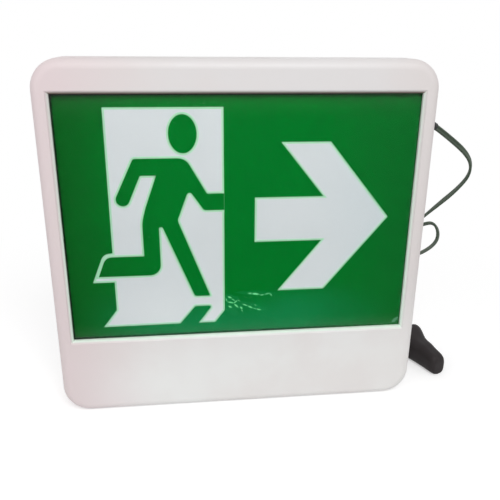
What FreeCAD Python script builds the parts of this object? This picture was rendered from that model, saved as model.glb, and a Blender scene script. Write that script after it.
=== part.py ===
import FreeCAD, Part
import math
import os

# Emergency exit light: a shallow moulded box with a lit green and white panel,
# standing on its lower edge. +X is to the right seen from the front, +Y to the back,
# +Z up. The origin is at the middle of the lower edge. Millimetres.

V = FreeCAD.Vector

# how far one form runs into the next, how far a cutter runs past, and when points count as equal
ROOT = 0.3
PAST = 1.0
TOUCH = 1e-6

# ---- housing -----------------------------------------------------------------------------------
WIDTH = 330.0
HEIGHT = 315.0
DEPTH = 48.0
WALL = 2.5
CORNER_R = 24.5
FRONT_EDGE_R = 8.0
BACK_EDGE_R = 4.0
BACK_PLATE_DEPTH = 14.0
PARTING_STEP = 0.6
LIP_T = 1.5
LIP_LENGTH = 4.0
LIP_CLEARANCE = 0.2

# ---- window and panel --------------------------------------------------------------------------
SIDE_BORDER = 14.0
TOP_BORDER = 26.7
BAND_H = 73.7
WINDOW_CORNER_R = 1.0
WINDOW_BEVEL = 2.4
RIM_T = 2.5
PANEL_SETBACK = 5.0
PANEL_LAP = 2.0
PANEL_CLEARANCE = 0.3
LENS_T = 2.0
FILM_T = 0.3
DIFFUSER_T = 3.0

# ---- light tray --------------------------------------------------------------------------------
TRAY_T = 1.2
TRAY_DEPTH = 20.0
TRAY_FLANGE = 5.0
TRAY_TAPER = 8.0
TRAY_CORNER_R = 6.0
EAR_W = 12.0
EAR_RISE = 60.0
TRAY_BOSS_R = 3.6
TRAY_SCREW_R = 1.3
STRIP_L = 262.0
STRIP_W = 12.0
STRIP_T = 1.2
STRIP_RISE = 52.0
CHIP_COUNT = 12
CHIP_PITCH = 21.0
CHIP_L = 3.5
CHIP_W = 2.8
CHIP_T = 1.0
CONNECTOR = (12.0, 5.0, 7.0)
CONNECTOR_EDGE = 0.8

# ---- ribs and housing screws -------------------------------------------------------------------
RIB_T = 2.0
RIB_PITCH = 81.0
BACK_RIB_H = 3.0
BOSS_R = 4.5
BOSS_INSET_X = 15.0
BOSS_INSET_Z = 13.0
SCREW_R = 1.6
SCREW_CLEARANCE = 0.1
SCREW_HEAD_R = 3.2
SCREW_HEAD_H = 2.2
SCREW_L = 22.0
HEAD_SINK = 0.6
HEAD_ROOM = 0.3
HEAD_EDGE_SHARE = 0.4
DRIVE_SHARE = 0.5
DRIVE_DEPTH_SHARE = 0.5

# ---- wall fixing -------------------------------------------------------------------------------
ENTRY_R = 11.0
BOX_SLOT_SPACING = 83.3
BOX_SLOT_R = 2.3
BOX_SLOT_L = 12.0
KEYHOLE_SPACING = 200.0
KEYHOLE_Z = 262.0
KEYHOLE_R = 4.5
KEYHOLE_NECK_R = 2.3
KEYHOLE_RISE = 10.0
VENT_W = 3.0
VENT_H = 30.0
VENT_PITCH = 8.0
VENT_COUNT = 6
VENT_X = 92.0
VENT_Z = 22.0

# ---- battery -----------------------------------------------------------------------------------
CELL_D = 14.4
CELL_L = 50.0
CELL_COUNT = 4
CELL_WEB = 0.3
CELL_EDGE = 1.2
BATTERY_X = -100.0
BATTERY_Z = 8.0
HOLDER_T = 1.8
HOLDER_WALL_H = 11.0
LUG_MARGIN = 1.0
LUG_HALF_W = 5.0
HOLDER_SCREW_BITE = 1.4
HOLDER_HOLE_DEPTH = 1.6
STRAP_W = 12.0
STRAP_T = 0.8
STRAP_CLEARANCE = 0.5
SEAT = 0.1

# ---- driver board ------------------------------------------------------------------------------
BOARD_X = -45.0
BOARD_Z = 12.0
BOARD_L = 112.0
BOARD_H = 50.0
BOARD_T = 1.6
BOARD_CORNER_R = 2.0
BOARD_STANDOFF = 6.0
BOARD_HOLE_INSET = 4.5
STANDOFF_R = 3.2
SMALL_SCREW_R = 1.2
SMALL_HEAD_R = 2.5
SMALL_HEAD_H = 1.6
SMALL_SCREW_L = 6.5
# places on the board are (from its left edge, from its lower edge)
CORE_LEFT = 18.0
CORE = (26.0, 16.0, 22.0)
CORE_WINDOW = 5.0
BOBBIN_GROW = 2.5
BOBBIN_CORNER_R = 2.0
CAP_COUNT = 3
CAP_PLACE = (58.0, 13.0)
CAP_R = 5.0
CAP_H = 15.0
CAP_PITCH = 12.0
CAP_EDGE = 0.8
CAP_GROOVE_UP = 2.5
CAP_GROOVE_W = 1.0
CAP_GROOVE_D = 0.4
TERMINAL = (18.0, 11.0, 10.0)
TERMINAL_WAYS = 3
TERMINAL_INSET = 8.0
WIRE_MOUTH = (3.0, 4.0, 3.6)
WIRE_MOUTH_UP = 5.0
CLAMP_HOLE_R = 2.0
CLAMP_HOLE_D = 3.0
SINK_PLACE = (70.0, 8.0)
SINK_T = 1.2
SINK_FINS = 5
SINK_PITCH = 4.0
SINK_H = 12.0
SINK_W = 14.0

# ---- test button, in the right-hand side wall --------------------------------------------------
BUTTON_Y = -3.0
BUTTON_Z = 37.0
BUTTON_R = 4.6
BUTTON_CLEARANCE = 0.25
BUTTON_SINK = 0.2
BUTTON_EDGE = 0.8
FLANGE_R = 6.2
FLANGE_T = 1.6
STOP_GAP = 0.2
BUTTON_TRAVEL = 1.5
STEM_R = 2.0
STEM_GAP = 0.5
SWITCH = (5.0, 12.0, 12.0)
SWITCH_EDGE = 0.6
SPRING_LENGTH = 6.0
SPRING_R = 3.4
SPRING_WIRE_R = 0.35
SPRING_TURNS = 3.5
SPRING_SEAT = 0.1
SPRING_STEPS = 10
PCB_T = 1.6
PCB_D = 22.0
PCB_LOW = 10.0
PCB_HIGH = 27.0
PCB_GRIP = 1.5
RAIL_T = 2.0
RAIL_CLEARANCE = 0.1
LAMP_RISE = 16.0
LAMP = (1.5, 3.0, 3.0)
PIPE_R = 2.5
PIPE_COLLAR_R = 3.6
PIPE_COLLAR_T = 1.0
PIPE_SINK = 0.2
PIPE_EDGE = 0.5
PIPE_CLEARANCE = 0.1

# ---- mains lead, plug and stored coil ----------------------------------------------------------
CORD_D = 5.4
RELIEF_Y = 15.2
RELIEF_Z = 263.2
RELIEF_L = 20.0
RELIEF_R = 4.4
RELIEF_TIP_R = 3.3
RELIEF_NECK_R = 3.6
RELIEF_FLANGE_R = 4.8
RELIEF_FLANGE_T = 1.2
RELIEF_RINGS = 4
RELIEF_FIRST_RING = 0.35
RELIEF_RING_STEP = 0.15
GROOVE_W = 1.3
GROOVE_D = 0.45
ARC_SHARE = 0.45
COIL_X = 118.0
COIL_Y = 74.0
COIL_LIFT = 0.9
COIL_INNER_R = 19.3
COIL_OUTER_R = 40.7
COIL_H = 11.0
COIL_EDGE = 2.6
TIE_W = 8.0
TIE_T = 0.8
TIE_FIT = 0.05
PLUG_TOE = (209.8, 5.2)
PLUG_YAW = 108.5
# along the plug from its rounded toe: distance, width, height
PLUG_SECTIONS = [
    (0.0, 12.0, 12.6),
    (2.0, 16.2, 16.4),
    (9.0, 19.0, 19.0),
    (22.0, 21.0, 21.5),
    (38.0, 26.0, 24.0),
    (46.0, 30.5, 28.0),
    (52.0, 31.0, 29.0),
]
PLUG_ROUND = 0.36
PLUG_RELIEF_S = 42.0
PLUG_RELIEF_Z = 12.0
PLUG_RELIEF_OUT = 33.0
PLUG_RELIEF_ROOT = 10.0
PLUG_RELIEF_R = 5.2
PLUG_FIRST_RING = 3.0
PLUG_RING_STEP = 3.2
BLADE_L = 17.0
BLADE_W = 6.35
BLADE_T = 1.5
BLADE_SPACING = 12.7
BLADE_EDGE = 0.6
BLADE_HOLE_R = 1.6
BLADE_HOLE_IN = 5.5

# route of the mains lead after its strain relief, and the short run from the coil to the plug
CORD_ROUTE = [
    (196.8, 21.5, 247.2),
    (223.3, 25.0, 226.9),
    (227.7, 29.0, 209.6),
    (217.3, 32.0, 193.0),
    (199.0, 36.0, 172.2),
    (183.0, 38.0, 157.5),
    (169.8, 38.0, 146.6),
    (167.9, 38.0, 135.6),
    (174.6, 39.0, 125.4),
    (186.4, 40.0, 122.1),
    (200.6, 41.0, 128.6),
    (208.8, 42.0, 136.0),
    (209.3, 43.0, 145.8),
    (205.5, 45.0, 153.4),
    (198.0, 47.0, 155.4),
    (183.6, 51.0, 147.6),
    (167.0, 56.0, 134.0),
    (156.0, 62.0, 114.0),
    (151.0, 71.0, 90.0),
    (152.0, 82.0, 66.0),
    (156.0, 94.0, 44.0),
    (157.0, 103.0, 27.0),
    (153.5, 109.5, 13.0),
    (144.0, 113.0, 5.6),
    (131.0, 114.0, 3.8),
    (118.0, 112.0, 3.6),
]
PLUG_LEAD_ROUTE = [
    (151.4, 30.0, 12.0),
    (135.0, 34.2, 10.0),
    (118.0, 36.0, 9.2),
]

# inner leads: diameter, then points
LEAD_D = 2.6
LED_LEAD = [
    (40.0, 13.3, 99.0),
    (40.0, 16.0, 88.0),
    (36.0, 16.0, 76.0),
    (30.0, 12.9, 64.0),
    (28.0, 8.0, 56.0),
]
BATTERY_LEAD = [
    (-72.8, 8.5, 40.0),
    (-64.0, 7.0, 44.0),
    (-54.0, 8.5, 44.0),
    (-42.0, 10.5, 40.0),
    (-34.0, 12.6, 36.0),
]
SWITCH_LEAD = [
    (147.0, -2.0, 38.0),
    (136.0, 1.0, 38.0),
    (118.0, 6.0, 42.0),
    (97.0, 6.5, 42.0),
    (78.0, 7.5, 38.0),
    (64.0, 12.6, 36.0),
]
MAINS_LEAD = [
    (159.0, 15.2, 263.2),
    (153.0, 15.2, 255.0),
    (151.0, 15.0, 238.0),
    (151.0, 15.0, 206.0),
    (152.0, 15.0, 160.0),
    (151.0, 15.0, 114.0),
    (146.0, 14.0, 84.0),
    (130.0, 11.0, 66.0),
    (108.0, 9.0, 56.0),
    (84.0, 8.4, 52.0),
    (58.0, 8.9, 51.0),
]

# ---- places worked out from the sizes ----------------------------------------------------------
FRONT_Y = -DEPTH / 2
BACK_Y = DEPTH / 2
PARTING_Y = BACK_Y - BACK_PLATE_DEPTH
HALF_W = WIDTH / 2
WALL_X = HALF_W - WALL
WINDOW_W = WIDTH - 2 * SIDE_BORDER
WINDOW_H = HEIGHT - BAND_H - TOP_BORDER
WINDOW_MID_Z = BAND_H + WINDOW_H / 2
PANEL_W = WINDOW_W + 2 * PANEL_LAP
PANEL_H = WINDOW_H + 2 * PANEL_LAP
LENS_Y = FRONT_Y + PANEL_SETBACK
FILM_Y = LENS_Y + LENS_T
DIFFUSER_Y = FILM_Y + FILM_T
FLANGE_Y = DIFFUSER_Y + DIFFUSER_T
TRAY_BACK_Y = FLANGE_Y + TRAY_DEPTH
INNER_BACK_Y = BACK_Y - WALL
EAR_X = (PANEL_W / 2 + WALL_X) / 2
BOARD_Y = INNER_BACK_Y - BOARD_STANDOFF - BOARD_T
SIDE_X = HALF_W - PARTING_STEP
FLANGE_X = WALL_X - STOP_GAP - FLANGE_T
SWITCH_X = FLANGE_X - SPRING_LENGTH
PCB_X = SWITCH_X - SWITCH[0] - PCB_T
LAMP_Z = BUTTON_Z + LAMP_RISE
SCREW_SEAT_Y = BACK_Y - SCREW_HEAD_H - HEAD_SINK
SMALL_SCREW = (SMALL_SCREW_R, SMALL_HEAD_R, SMALL_HEAD_H)


def save(name, shape):
    """Write one sub-part and print its volume."""
    solids = shape.Solids
    body = solids[0] if len(solids) == 1 else Part.makeCompound(solids)
    if not all(s.isValid() for s in solids):
        raise ValueError(name + " is not valid")
    body.exportStep("parts/" + name + ".step")
    print(f"{name}: {len(solids)} solid(s), {body.Volume / 1000:.2f} cm3, {len(body.Faces)} faces")


def block(x, y, z):
    """A box from three (low, high) pairs."""
    return Part.makeBox(x[1] - x[0], y[1] - y[0], z[1] - z[0], V(x[0], y[0], z[0]))


def rod(radius, start, end):
    """A round bar between two points."""
    way = V(*end) - V(*start)
    return Part.makeCylinder(radius, way.Length, V(*start), way)


def taper(radius, tip_radius, start, end):
    way = V(*end) - V(*start)
    return Part.makeCone(radius, tip_radius, way.Length, V(*start), way)


def edges_along_y(shape):
    """The straight edges that run front to back."""
    found = []
    for edge in shape.Edges:
        if isinstance(edge.Curve, Part.Line):
            way = edge.lastVertex().Point - edge.firstVertex().Point
            if abs(way.x) < TOUCH and abs(way.z) < TOUCH:
                found.append(edge)
    return found


def edges_at_y(shape, y):
    """The edges that lie in the plane at this y."""
    found = []
    for edge in shape.Edges:
        box = edge.BoundBox
        if abs(edge.CenterOfMass.y - y) < TOUCH and box.YLength < 10 * TOUCH:
            found.append(edge)
    return found


def edges_at_x(shape, x):
    """The closed edges whose middle lies at this x."""
    return [e for e in shape.Edges if e.Closed and abs(e.CenterOfMass.x - x) < TOUCH]


def slab(width, z, y, radius):
    """A plate centred on x = 0 with rounded corners, seen from the front."""
    plate = block((-width / 2, width / 2), y, z)
    return plate.makeFillet(radius, edges_along_y(plate))


def housing_slab(inset, y):
    """The outline of the whole light, drawn in by inset."""
    return slab(WIDTH - 2 * inset, (inset, HEIGHT - inset), y, CORNER_R - inset)


def screw(radius, head_radius, head_height, length, seat, inward):
    """A pan-head screw along y with a hex drive. seat is under its head, inward is +1 or -1."""
    way = V(0, inward, 0)
    top = V(*seat) - way * head_height
    shank = Part.makeCylinder(radius, length, V(*seat), way)
    head = Part.makeCylinder(head_radius, head_height, top, way)
    head = head.makeChamfer(head_height * HEAD_EDGE_SHARE, edges_at_y(head, top.y))
    corners = []
    for k in range(7):
        angle = math.radians(60 * k)
        reach = head_radius * DRIVE_SHARE
        corners.append(top + V(reach * math.cos(angle), 0, reach * math.sin(angle)))
    drive = Part.Face(Part.makePolygon(corners)).extrude(way * (head_height * DRIVE_DEPTH_SHARE))
    return shank.fuse(head).cut(drive).removeSplitter()


def screws(places, seat_y, inward, size, length):
    """The same screw at several (x, z) places. size is (shank radius, head radius, head height)."""
    return Part.makeCompound([screw(*size, length, (x, seat_y, z), inward) for x, z in places])


def ring_groove(radius, depth, width, centre, way):
    """A cutter for a square groove round a bar of this radius."""
    start = V(*centre) - V(*way) * (width / 2)
    outside = Part.makeCylinder(radius + PAST, width, start, V(*way))
    return outside.cut(Part.makeCylinder(radius - depth, width, start, V(*way)))


def turn_points(points):
    """Ends of the runs and the arc between them at each inner point of a route."""
    route = [V(*p) for p in points]
    turns = []
    for before, corner, after in zip(route, route[1:], route[2:]):
        back = before - corner
        ahead = after - corner
        reach = ARC_SHARE * min(back.Length, ahead.Length)
        back.normalize()
        ahead.normalize()
        half_turn = (math.pi - back.getAngle(ahead)) / 2
        radius = reach / math.tan(half_turn)
        inward = (back + ahead).normalize()
        nearest = corner + inward * (radius / math.cos(half_turn) - radius)
        turns.append((corner + back * reach, nearest, corner + ahead * reach, radius))
    return route[0], turns, route[-1]


def tube(name, points, diameter):
    """A round tube along straight runs joined by tangent arcs."""
    start, turns, end = turn_points(points)
    edges = []
    here = start
    for arc_start, middle, arc_end, radius in turns:
        edges.append(Part.LineSegment(here, arc_start).toShape())
        edges.append(Part.Arc(arc_start, middle, arc_end).toShape())
        here = arc_end
    edges.append(Part.LineSegment(here, end).toShape())
    path = Part.Wire(edges)
    way = (turns[0][0] - start).normalize()
    ring = Part.Wire(Part.makeCircle(diameter / 2, start, way))
    solid = path.makePipeShell([ring], True, True)
    ideal = math.pi * diameter ** 2 / 4 * path.Length
    radii = ", ".join(f"{t[3]:.0f}" for t in turns)
    print(f"{name}: length {path.Length:.0f} mm, radii {radii}; volume / ideal {solid.Volume / ideal:.4f}")
    save(name, solid)
    return path.Length


def rounded_wire(x, width, height, radius, low):
    """A rounded rectangle across the x direction, standing on z = low."""
    a = width / 2
    b = height / 2
    mid = low + b
    edges = []
    corners = [(a, b, 0), (-a, b, 90), (-a, -b, 180), (a, -b, 270)]
    ends = []
    for y, z, start in corners:
        cy = y - math.copysign(radius, y)
        cz = z - math.copysign(radius, z)
        arc = [V(x, cy + radius * math.cos(math.radians(start + t)),
                 mid + cz + radius * math.sin(math.radians(start + t))) for t in (0, 45, 90)]
        ends.append(arc)
    for k, arc in enumerate(ends):
        edges.append(Part.Arc(*arc).toShape())
        edges.append(Part.LineSegment(arc[2], ends[(k + 1) % 4][0]).toShape())
    return Part.Wire(edges)


def window_prism(grow_front, grow_back, y_front, y_back):
    """A straight or tapered plug the shape of the window, for cutting it."""
    wires = []
    for grow, y in ((grow_front, y_front), (grow_back, y_back)):
        a = WINDOW_W / 2 + grow
        low = BAND_H - grow
        high = BAND_H + WINDOW_H + grow
        corners = [V(-a, y, low), V(a, y, low), V(a, y, high), V(-a, y, high), V(-a, y, low)]
        wires.append(Part.makePolygon(corners))
    return Part.makeLoft(wires, True, True)


def boss_places():
    """Centres of the four housing screws, as (x, z)."""
    x = HALF_W - BOSS_INSET_X
    return [(sx * x, z) for sx in (-1, 1) for z in (BOSS_INSET_Z, HEIGHT - BOSS_INSET_Z)]


def ear_places():
    """Centres of the four light-tray screws, as (x, z)."""
    return [(sx * EAR_X, WINDOW_MID_Z + sz * EAR_RISE) for sx in (-1, 1) for sz in (-1, 1)]


# ---- housing pieces ----------------------------------------------------------------------------


def front_ribs():
    """Ribs that centre the panel: beside it, above it and below it."""
    y = (FRONT_Y + WALL - ROOT, FLANGE_Y)
    edge_x = PANEL_W / 2 + PANEL_CLEARANCE
    low_z = BAND_H - PANEL_LAP - PANEL_CLEARANCE
    high_z = BAND_H + WINDOW_H + PANEL_LAP + PANEL_CLEARANCE
    ribs = []
    for k in (-1, 0, 1):
        z = WINDOW_MID_Z + k * RIB_PITCH
        side = (z - RIB_T / 2, z + RIB_T / 2)
        x = k * RIB_PITCH
        across = (x - RIB_T / 2, x + RIB_T / 2)
        ribs.append(block((edge_x, WALL_X + ROOT), y, side))
        ribs.append(block((-WALL_X - ROOT, -edge_x), y, side))
        ribs.append(block(across, y, (high_z, HEIGHT - WALL + ROOT)))
        ribs.append(block(across, y, (WALL - ROOT, low_z)))
    return ribs


def switch_rails():
    """Two grooved rails on the front wall that hold the switch board."""
    y = (FRONT_Y + WALL - ROOT, BUTTON_Y + PCB_D / 2)
    x = (PCB_X - RAIL_T, PCB_X + PCB_T + RAIL_T)
    low = BUTTON_Z - PCB_LOW
    high = BUTTON_Z + PCB_HIGH
    groove = block((PCB_X - RAIL_CLEARANCE, PCB_X + PCB_T + RAIL_CLEARANCE),
                   (BUTTON_Y - PCB_D / 2, y[1] + PAST), (low - RAIL_CLEARANCE, high + RAIL_CLEARANCE))
    rails = [block(x, y, (low - RAIL_T, low + PCB_GRIP)), block(x, y, (high - PCB_GRIP, high + RAIL_T))]
    return [r.cut(groove) for r in rails]


def front_frame():
    """Moulded front cover: plain lower band, window with a bevelled rim, ribs and bosses."""
    outer = housing_slab(0, (FRONT_Y, PARTING_Y))
    outer = outer.makeFillet(FRONT_EDGE_R, edges_at_y(outer, FRONT_Y))
    inner = housing_slab(WALL, (FRONT_Y + WALL, PARTING_Y))
    inner = inner.makeFillet(FRONT_EDGE_R - WALL, edges_at_y(inner, FRONT_Y + WALL))
    rim = window_prism(RIM_T, RIM_T, FRONT_Y + WALL - ROOT, LENS_Y)
    added = [rim] + front_ribs() + switch_rails()
    for x, z in boss_places():
        added.append(rod(BOSS_R, (x, FRONT_Y + WALL - ROOT, z), (x, PARTING_Y - LIP_LENGTH, z)))
    for x, z in ear_places():
        added.append(rod(TRAY_BOSS_R, (x, FRONT_Y + WALL - ROOT, z), (x, FLANGE_Y, z)))
    shell = outer.cut(inner).fuse(added).common(outer)
    cuts = [window_prism(0, 0, FRONT_Y - PAST, LENS_Y + PAST),
            window_prism(WINDOW_BEVEL, 0, FRONT_Y, FRONT_Y + WINDOW_BEVEL)]
    thread_end = PARTING_Y - LIP_LENGTH - SCREW_L
    for x, z in boss_places():
        cuts.append(rod(SCREW_R + SCREW_CLEARANCE, (x, thread_end, z), (x, PARTING_Y, z)))
    tray_hole_r = TRAY_SCREW_R + SCREW_CLEARANCE
    for x, z in ear_places():
        cuts.append(rod(tray_hole_r, (x, FLANGE_Y - SMALL_SCREW_L, z), (x, FLANGE_Y + PAST, z)))
    wall_x = (WALL_X - PAST, HALF_W + PAST)
    for radius, z in ((BUTTON_R + BUTTON_CLEARANCE, BUTTON_Z), (PIPE_R + PIPE_CLEARANCE, LAMP_Z)):
        cuts.append(rod(radius, (wall_x[0], BUTTON_Y, z), (wall_x[1], BUTTON_Y, z)))
    return shell.cut(cuts)


def keyhole(x):
    """A keyhole cutter: round entry with a narrow neck above it."""
    y = (INNER_BACK_Y - PAST, BACK_Y + PAST)
    entry = rod(KEYHOLE_R, (x, y[0], KEYHOLE_Z), (x, y[1], KEYHOLE_Z))
    top = KEYHOLE_Z + KEYHOLE_RISE
    neck = block((x - KEYHOLE_NECK_R, x + KEYHOLE_NECK_R), y, (KEYHOLE_Z, top))
    end = rod(KEYHOLE_NECK_R, (x, y[0], top), (x, y[1], top))
    return entry.fuse([neck, end])


def box_slot(x):
    """A level slot cutter for a junction-box screw."""
    reach = BOX_SLOT_L / 2 - BOX_SLOT_R
    y = (INNER_BACK_Y - PAST, BACK_Y + PAST)
    z = WINDOW_MID_Z
    middle = block((x - reach, x + reach), y, (z - BOX_SLOT_R, z + BOX_SLOT_R))
    ends = [rod(BOX_SLOT_R, (x + s * reach, y[0], z), (x + s * reach, y[1], z)) for s in (-1, 1)]
    return middle.fuse(ends)


def vent_cuts():
    """Upright round-ended slots behind the driver compartment."""
    cuts = []
    y = (INNER_BACK_Y - PAST, BACK_Y + PAST)
    for k in range(VENT_COUNT):
        x = VENT_X + k * VENT_PITCH
        slot = block((x - VENT_W / 2, x + VENT_W / 2), y, (VENT_Z, VENT_Z + VENT_H))
        ends = [rod(VENT_W / 2, (x, y[0], z), (x, y[1], z)) for z in (VENT_Z, VENT_Z + VENT_H)]
        cuts.append(slot.fuse(ends))
    return cuts


def board_holes():
    """Centres of the driver board's fixing holes, as (x, z)."""
    xs = (BOARD_X + BOARD_HOLE_INSET, BOARD_X + BOARD_L - BOARD_HOLE_INSET)
    zs = (BOARD_Z + BOARD_HOLE_INSET, BOARD_Z + BOARD_H - BOARD_HOLE_INSET)
    return [(x, z) for x in xs for z in zs]


def back_plate():
    """Moulded back: dished plate with a lip, bosses, wall-fixing holes, ribs and vents."""
    outer = housing_slab(PARTING_STEP, (PARTING_Y, BACK_Y))
    outer = outer.makeFillet(BACK_EDGE_R, edges_at_y(outer, BACK_Y))
    inner = housing_slab(WALL, (PARTING_Y, INNER_BACK_Y))
    lip_inset = WALL + LIP_CLEARANCE
    lip_y = (PARTING_Y - LIP_LENGTH, PARTING_Y + LIP_LENGTH)
    lip = housing_slab(lip_inset, lip_y).cut(housing_slab(lip_inset + LIP_T, lip_y))
    root_y = (PARTING_Y + PAST, PARTING_Y + LIP_LENGTH)
    root = housing_slab(WALL - ROOT, root_y).cut(housing_slab(lip_inset + ROOT, root_y))
    added = [lip, root]
    for x, z in boss_places():
        added.append(rod(BOSS_R, (x, PARTING_Y - LIP_LENGTH + SEAT, z), (x, INNER_BACK_Y + ROOT, z)))
    for x, z in board_holes():
        added.append(rod(STANDOFF_R, (x, BOARD_Y + BOARD_T, z), (x, INNER_BACK_Y + ROOT, z)))
    rib_y = (INNER_BACK_Y - BACK_RIB_H, INNER_BACK_Y + ROOT)
    for k in (-1, 1):
        x = k * RIB_PITCH
        added.append(block((x - RIB_T / 2, x + RIB_T / 2), rib_y, (BAND_H, HEIGHT - WALL - LIP_T)))
    for z in (BAND_H, WINDOW_MID_Z + RIB_PITCH / 2):
        reach = WALL_X - LIP_T
        added.append(block((-reach, reach), rib_y, (z - RIB_T / 2, z + RIB_T / 2)))
    plate = outer.cut(inner).fuse(added)
    mid = WINDOW_MID_Z
    cuts = [rod(ENTRY_R, (0, INNER_BACK_Y - PAST, mid), (0, BACK_Y + PAST, mid))]
    cuts += [box_slot(s * BOX_SLOT_SPACING / 2) for s in (-1, 1)]
    cuts += [keyhole(s * KEYHOLE_SPACING / 2) for s in (-1, 1)]
    cuts += vent_cuts()
    shank_hole_r = SCREW_R + SCREW_CLEARANCE
    for x, z in boss_places():
        cuts.append(rod(shank_hole_r, (x, PARTING_Y - LIP_LENGTH - PAST, z), (x, BACK_Y + PAST, z)))
        cuts.append(rod(SCREW_HEAD_R + HEAD_ROOM, (x, SCREW_SEAT_Y, z), (x, BACK_Y + PAST, z)))
    small_hole_r = SMALL_SCREW_R + SCREW_CLEARANCE
    for x, z in board_holes():
        cuts.append(rod(small_hole_r, (x, BOARD_Y, z), (x, BOARD_Y + SMALL_SCREW_L + SEAT, z)))
    hole_y = (INNER_BACK_Y - HOLDER_T, INNER_BACK_Y + HOLDER_HOLE_DEPTH)
    for x, z in holder_holes():
        cuts.append(rod(small_hole_r, (x, hole_y[0], z), (x, hole_y[1], z)))
    lip_x = WALL_X - LIP_CLEARANCE - LIP_T
    relief_line = (RELIEF_Y, RELIEF_Z)
    cuts.append(rod(RELIEF_NECK_R, (lip_x - PAST, *relief_line), (HALF_W + PAST, *relief_line)))
    cuts.append(rod(RELIEF_FLANGE_R + SEAT, (lip_x - PAST, *relief_line), (WALL_X, *relief_line)))
    return plate.cut(cuts)


def housing_screws():
    """Four screws that draw the back plate to the front frame."""
    return screws(boss_places(), SCREW_SEAT_Y, -1, (SCREW_R, SCREW_HEAD_R, SCREW_HEAD_H), SCREW_L)


# ---- panel stack and light tray ----------------------------------------------------------------


def panel_sheet(y, thickness):
    """One sheet of the panel stack, lapped behind the window rim."""
    low = BAND_H - PANEL_LAP
    sheet = slab(PANEL_W, (low, low + PANEL_H), (y, y + thickness), WINDOW_CORNER_R + PANEL_LAP)
    return sheet


def tray_prism(inset_front, inset_back, y_front, y_back):
    """A tapered rounded block, the form of the light tray's cup."""
    wires = []
    for inset, y in ((inset_front, y_front), (inset_back, y_back)):
        width = PANEL_W - 2 * inset
        height = PANEL_H - 2 * inset
        wire = rounded_wire(0, width, height, TRAY_CORNER_R, BAND_H - PANEL_LAP + inset)
        wire.rotate(V(0, 0, 0), V(0, 0, 1), 90)
        wire.translate(V(0, y, 0))
        wires.append(wire)
    return Part.makeLoft(wires, True, True)


def reflector_tray():
    """White pressed tray behind the panel: flange, tapered cup and four fixing ears."""
    flange = panel_sheet(FLANGE_Y, TRAY_T)
    cup = tray_prism(TRAY_FLANGE - TRAY_T, TRAY_FLANGE + TRAY_TAPER - TRAY_T, FLANGE_Y, TRAY_BACK_Y)
    hollow = tray_prism(TRAY_FLANGE, TRAY_FLANGE + TRAY_TAPER, FLANGE_Y - ROOT, TRAY_BACK_Y - TRAY_T)
    ears = []
    for x, z in ear_places():
        reach = sorted((math.copysign(PANEL_W / 2 - ROOT, x), math.copysign(EAR_X + TRAY_BOSS_R, x)))
        ears.append(block(reach, (FLANGE_Y, FLANGE_Y + TRAY_T), (z - EAR_W / 2, z + EAR_W / 2)))
    hole_y = (FLANGE_Y - PAST, FLANGE_Y + TRAY_T + PAST)
    holes = [rod(TRAY_SCREW_R + SCREW_CLEARANCE, (x, hole_y[0], z), (x, hole_y[1], z))
             for x, z in ear_places()]
    return flange.fuse([cup] + ears).cut([hollow] + holes).removeSplitter()


def tray_screws():
    """Four screws that hold the tray's ears, and so the panel, to the front frame."""
    return screws(ear_places(), FLANGE_Y + TRAY_T, -1, (TRAY_SCREW_R, SMALL_HEAD_R, SMALL_HEAD_H),
                  SMALL_SCREW_L)


def light_strip(z):
    """An LED strip board on the tray's back wall."""
    y = TRAY_BACK_Y - TRAY_T
    board = block((-STRIP_L / 2, STRIP_L / 2), (y - STRIP_T, y), (z - STRIP_W / 2, z + STRIP_W / 2))
    hole_x = (STRIP_L - STRIP_W) / 2
    hole_y = (y - STRIP_T - PAST, y + PAST)
    holes = [rod(SMALL_SCREW_R, (x, hole_y[0], z), (x, hole_y[1], z)) for x in (-hole_x, hole_x)]
    return board.cut(holes)


def light_chips(z):
    """The row of light-emitting chips on one strip."""
    y = TRAY_BACK_Y - TRAY_T - STRIP_T
    start = -CHIP_PITCH * (CHIP_COUNT - 1) / 2
    chips = []
    for k in range(CHIP_COUNT):
        x = start + k * CHIP_PITCH
        across = (x - CHIP_L / 2, x + CHIP_L / 2)
        chips.append(block(across, (y - CHIP_T, y), (z - CHIP_W / 2, z + CHIP_W / 2)))
    return Part.makeCompound(chips)


def led_connector():
    """The tray's two-way socket for the lead to the driver board."""
    length, depth, height = CONNECTOR
    x, _, z = LED_LEAD[0]
    body = block((x - length / 2, x + length / 2), (TRAY_BACK_Y, TRAY_BACK_Y + depth), (z, z + height))
    return body.makeChamfer(CONNECTOR_EDGE, edges_at_y(body, TRAY_BACK_Y + depth))


# ---- battery -----------------------------------------------------------------------------------


def cell_centres():
    """Middles of the battery's cells, as (y, z)."""
    y = INNER_BACK_Y - HOLDER_T - SEAT - CELL_D / 2
    return [(y, BATTERY_Z + CELL_D / 2 + k * (CELL_D - CELL_WEB)) for k in range(CELL_COUNT)]


def battery_top():
    """Height of the top of the uppermost cell."""
    return cell_centres()[-1][1] + CELL_D / 2


def battery_pack():
    """Sealed pack of cells side by side in one sleeve, with their end caps."""
    x0 = BATTERY_X - CELL_L / 2
    x1 = BATTERY_X + CELL_L / 2
    cells = []
    for y, z in cell_centres():
        cell = rod(CELL_D / 2, (x0, y, z), (x1, y, z))
        rims = [e for e in cell.Edges if e.Closed]
        cells.append(cell.makeChamfer(CELL_EDGE, rims))
    return cells[0].fuse(cells[1:])


def holder_holes():
    """Centres of the battery holder's two screws, beyond its end walls."""
    z = (BATTERY_Z + battery_top()) / 2
    reach = CELL_L / 2 + SEAT + HOLDER_T + SMALL_HEAD_R + LUG_MARGIN
    return [(BATTERY_X - reach, z), (BATTERY_X + reach, z)]


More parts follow.
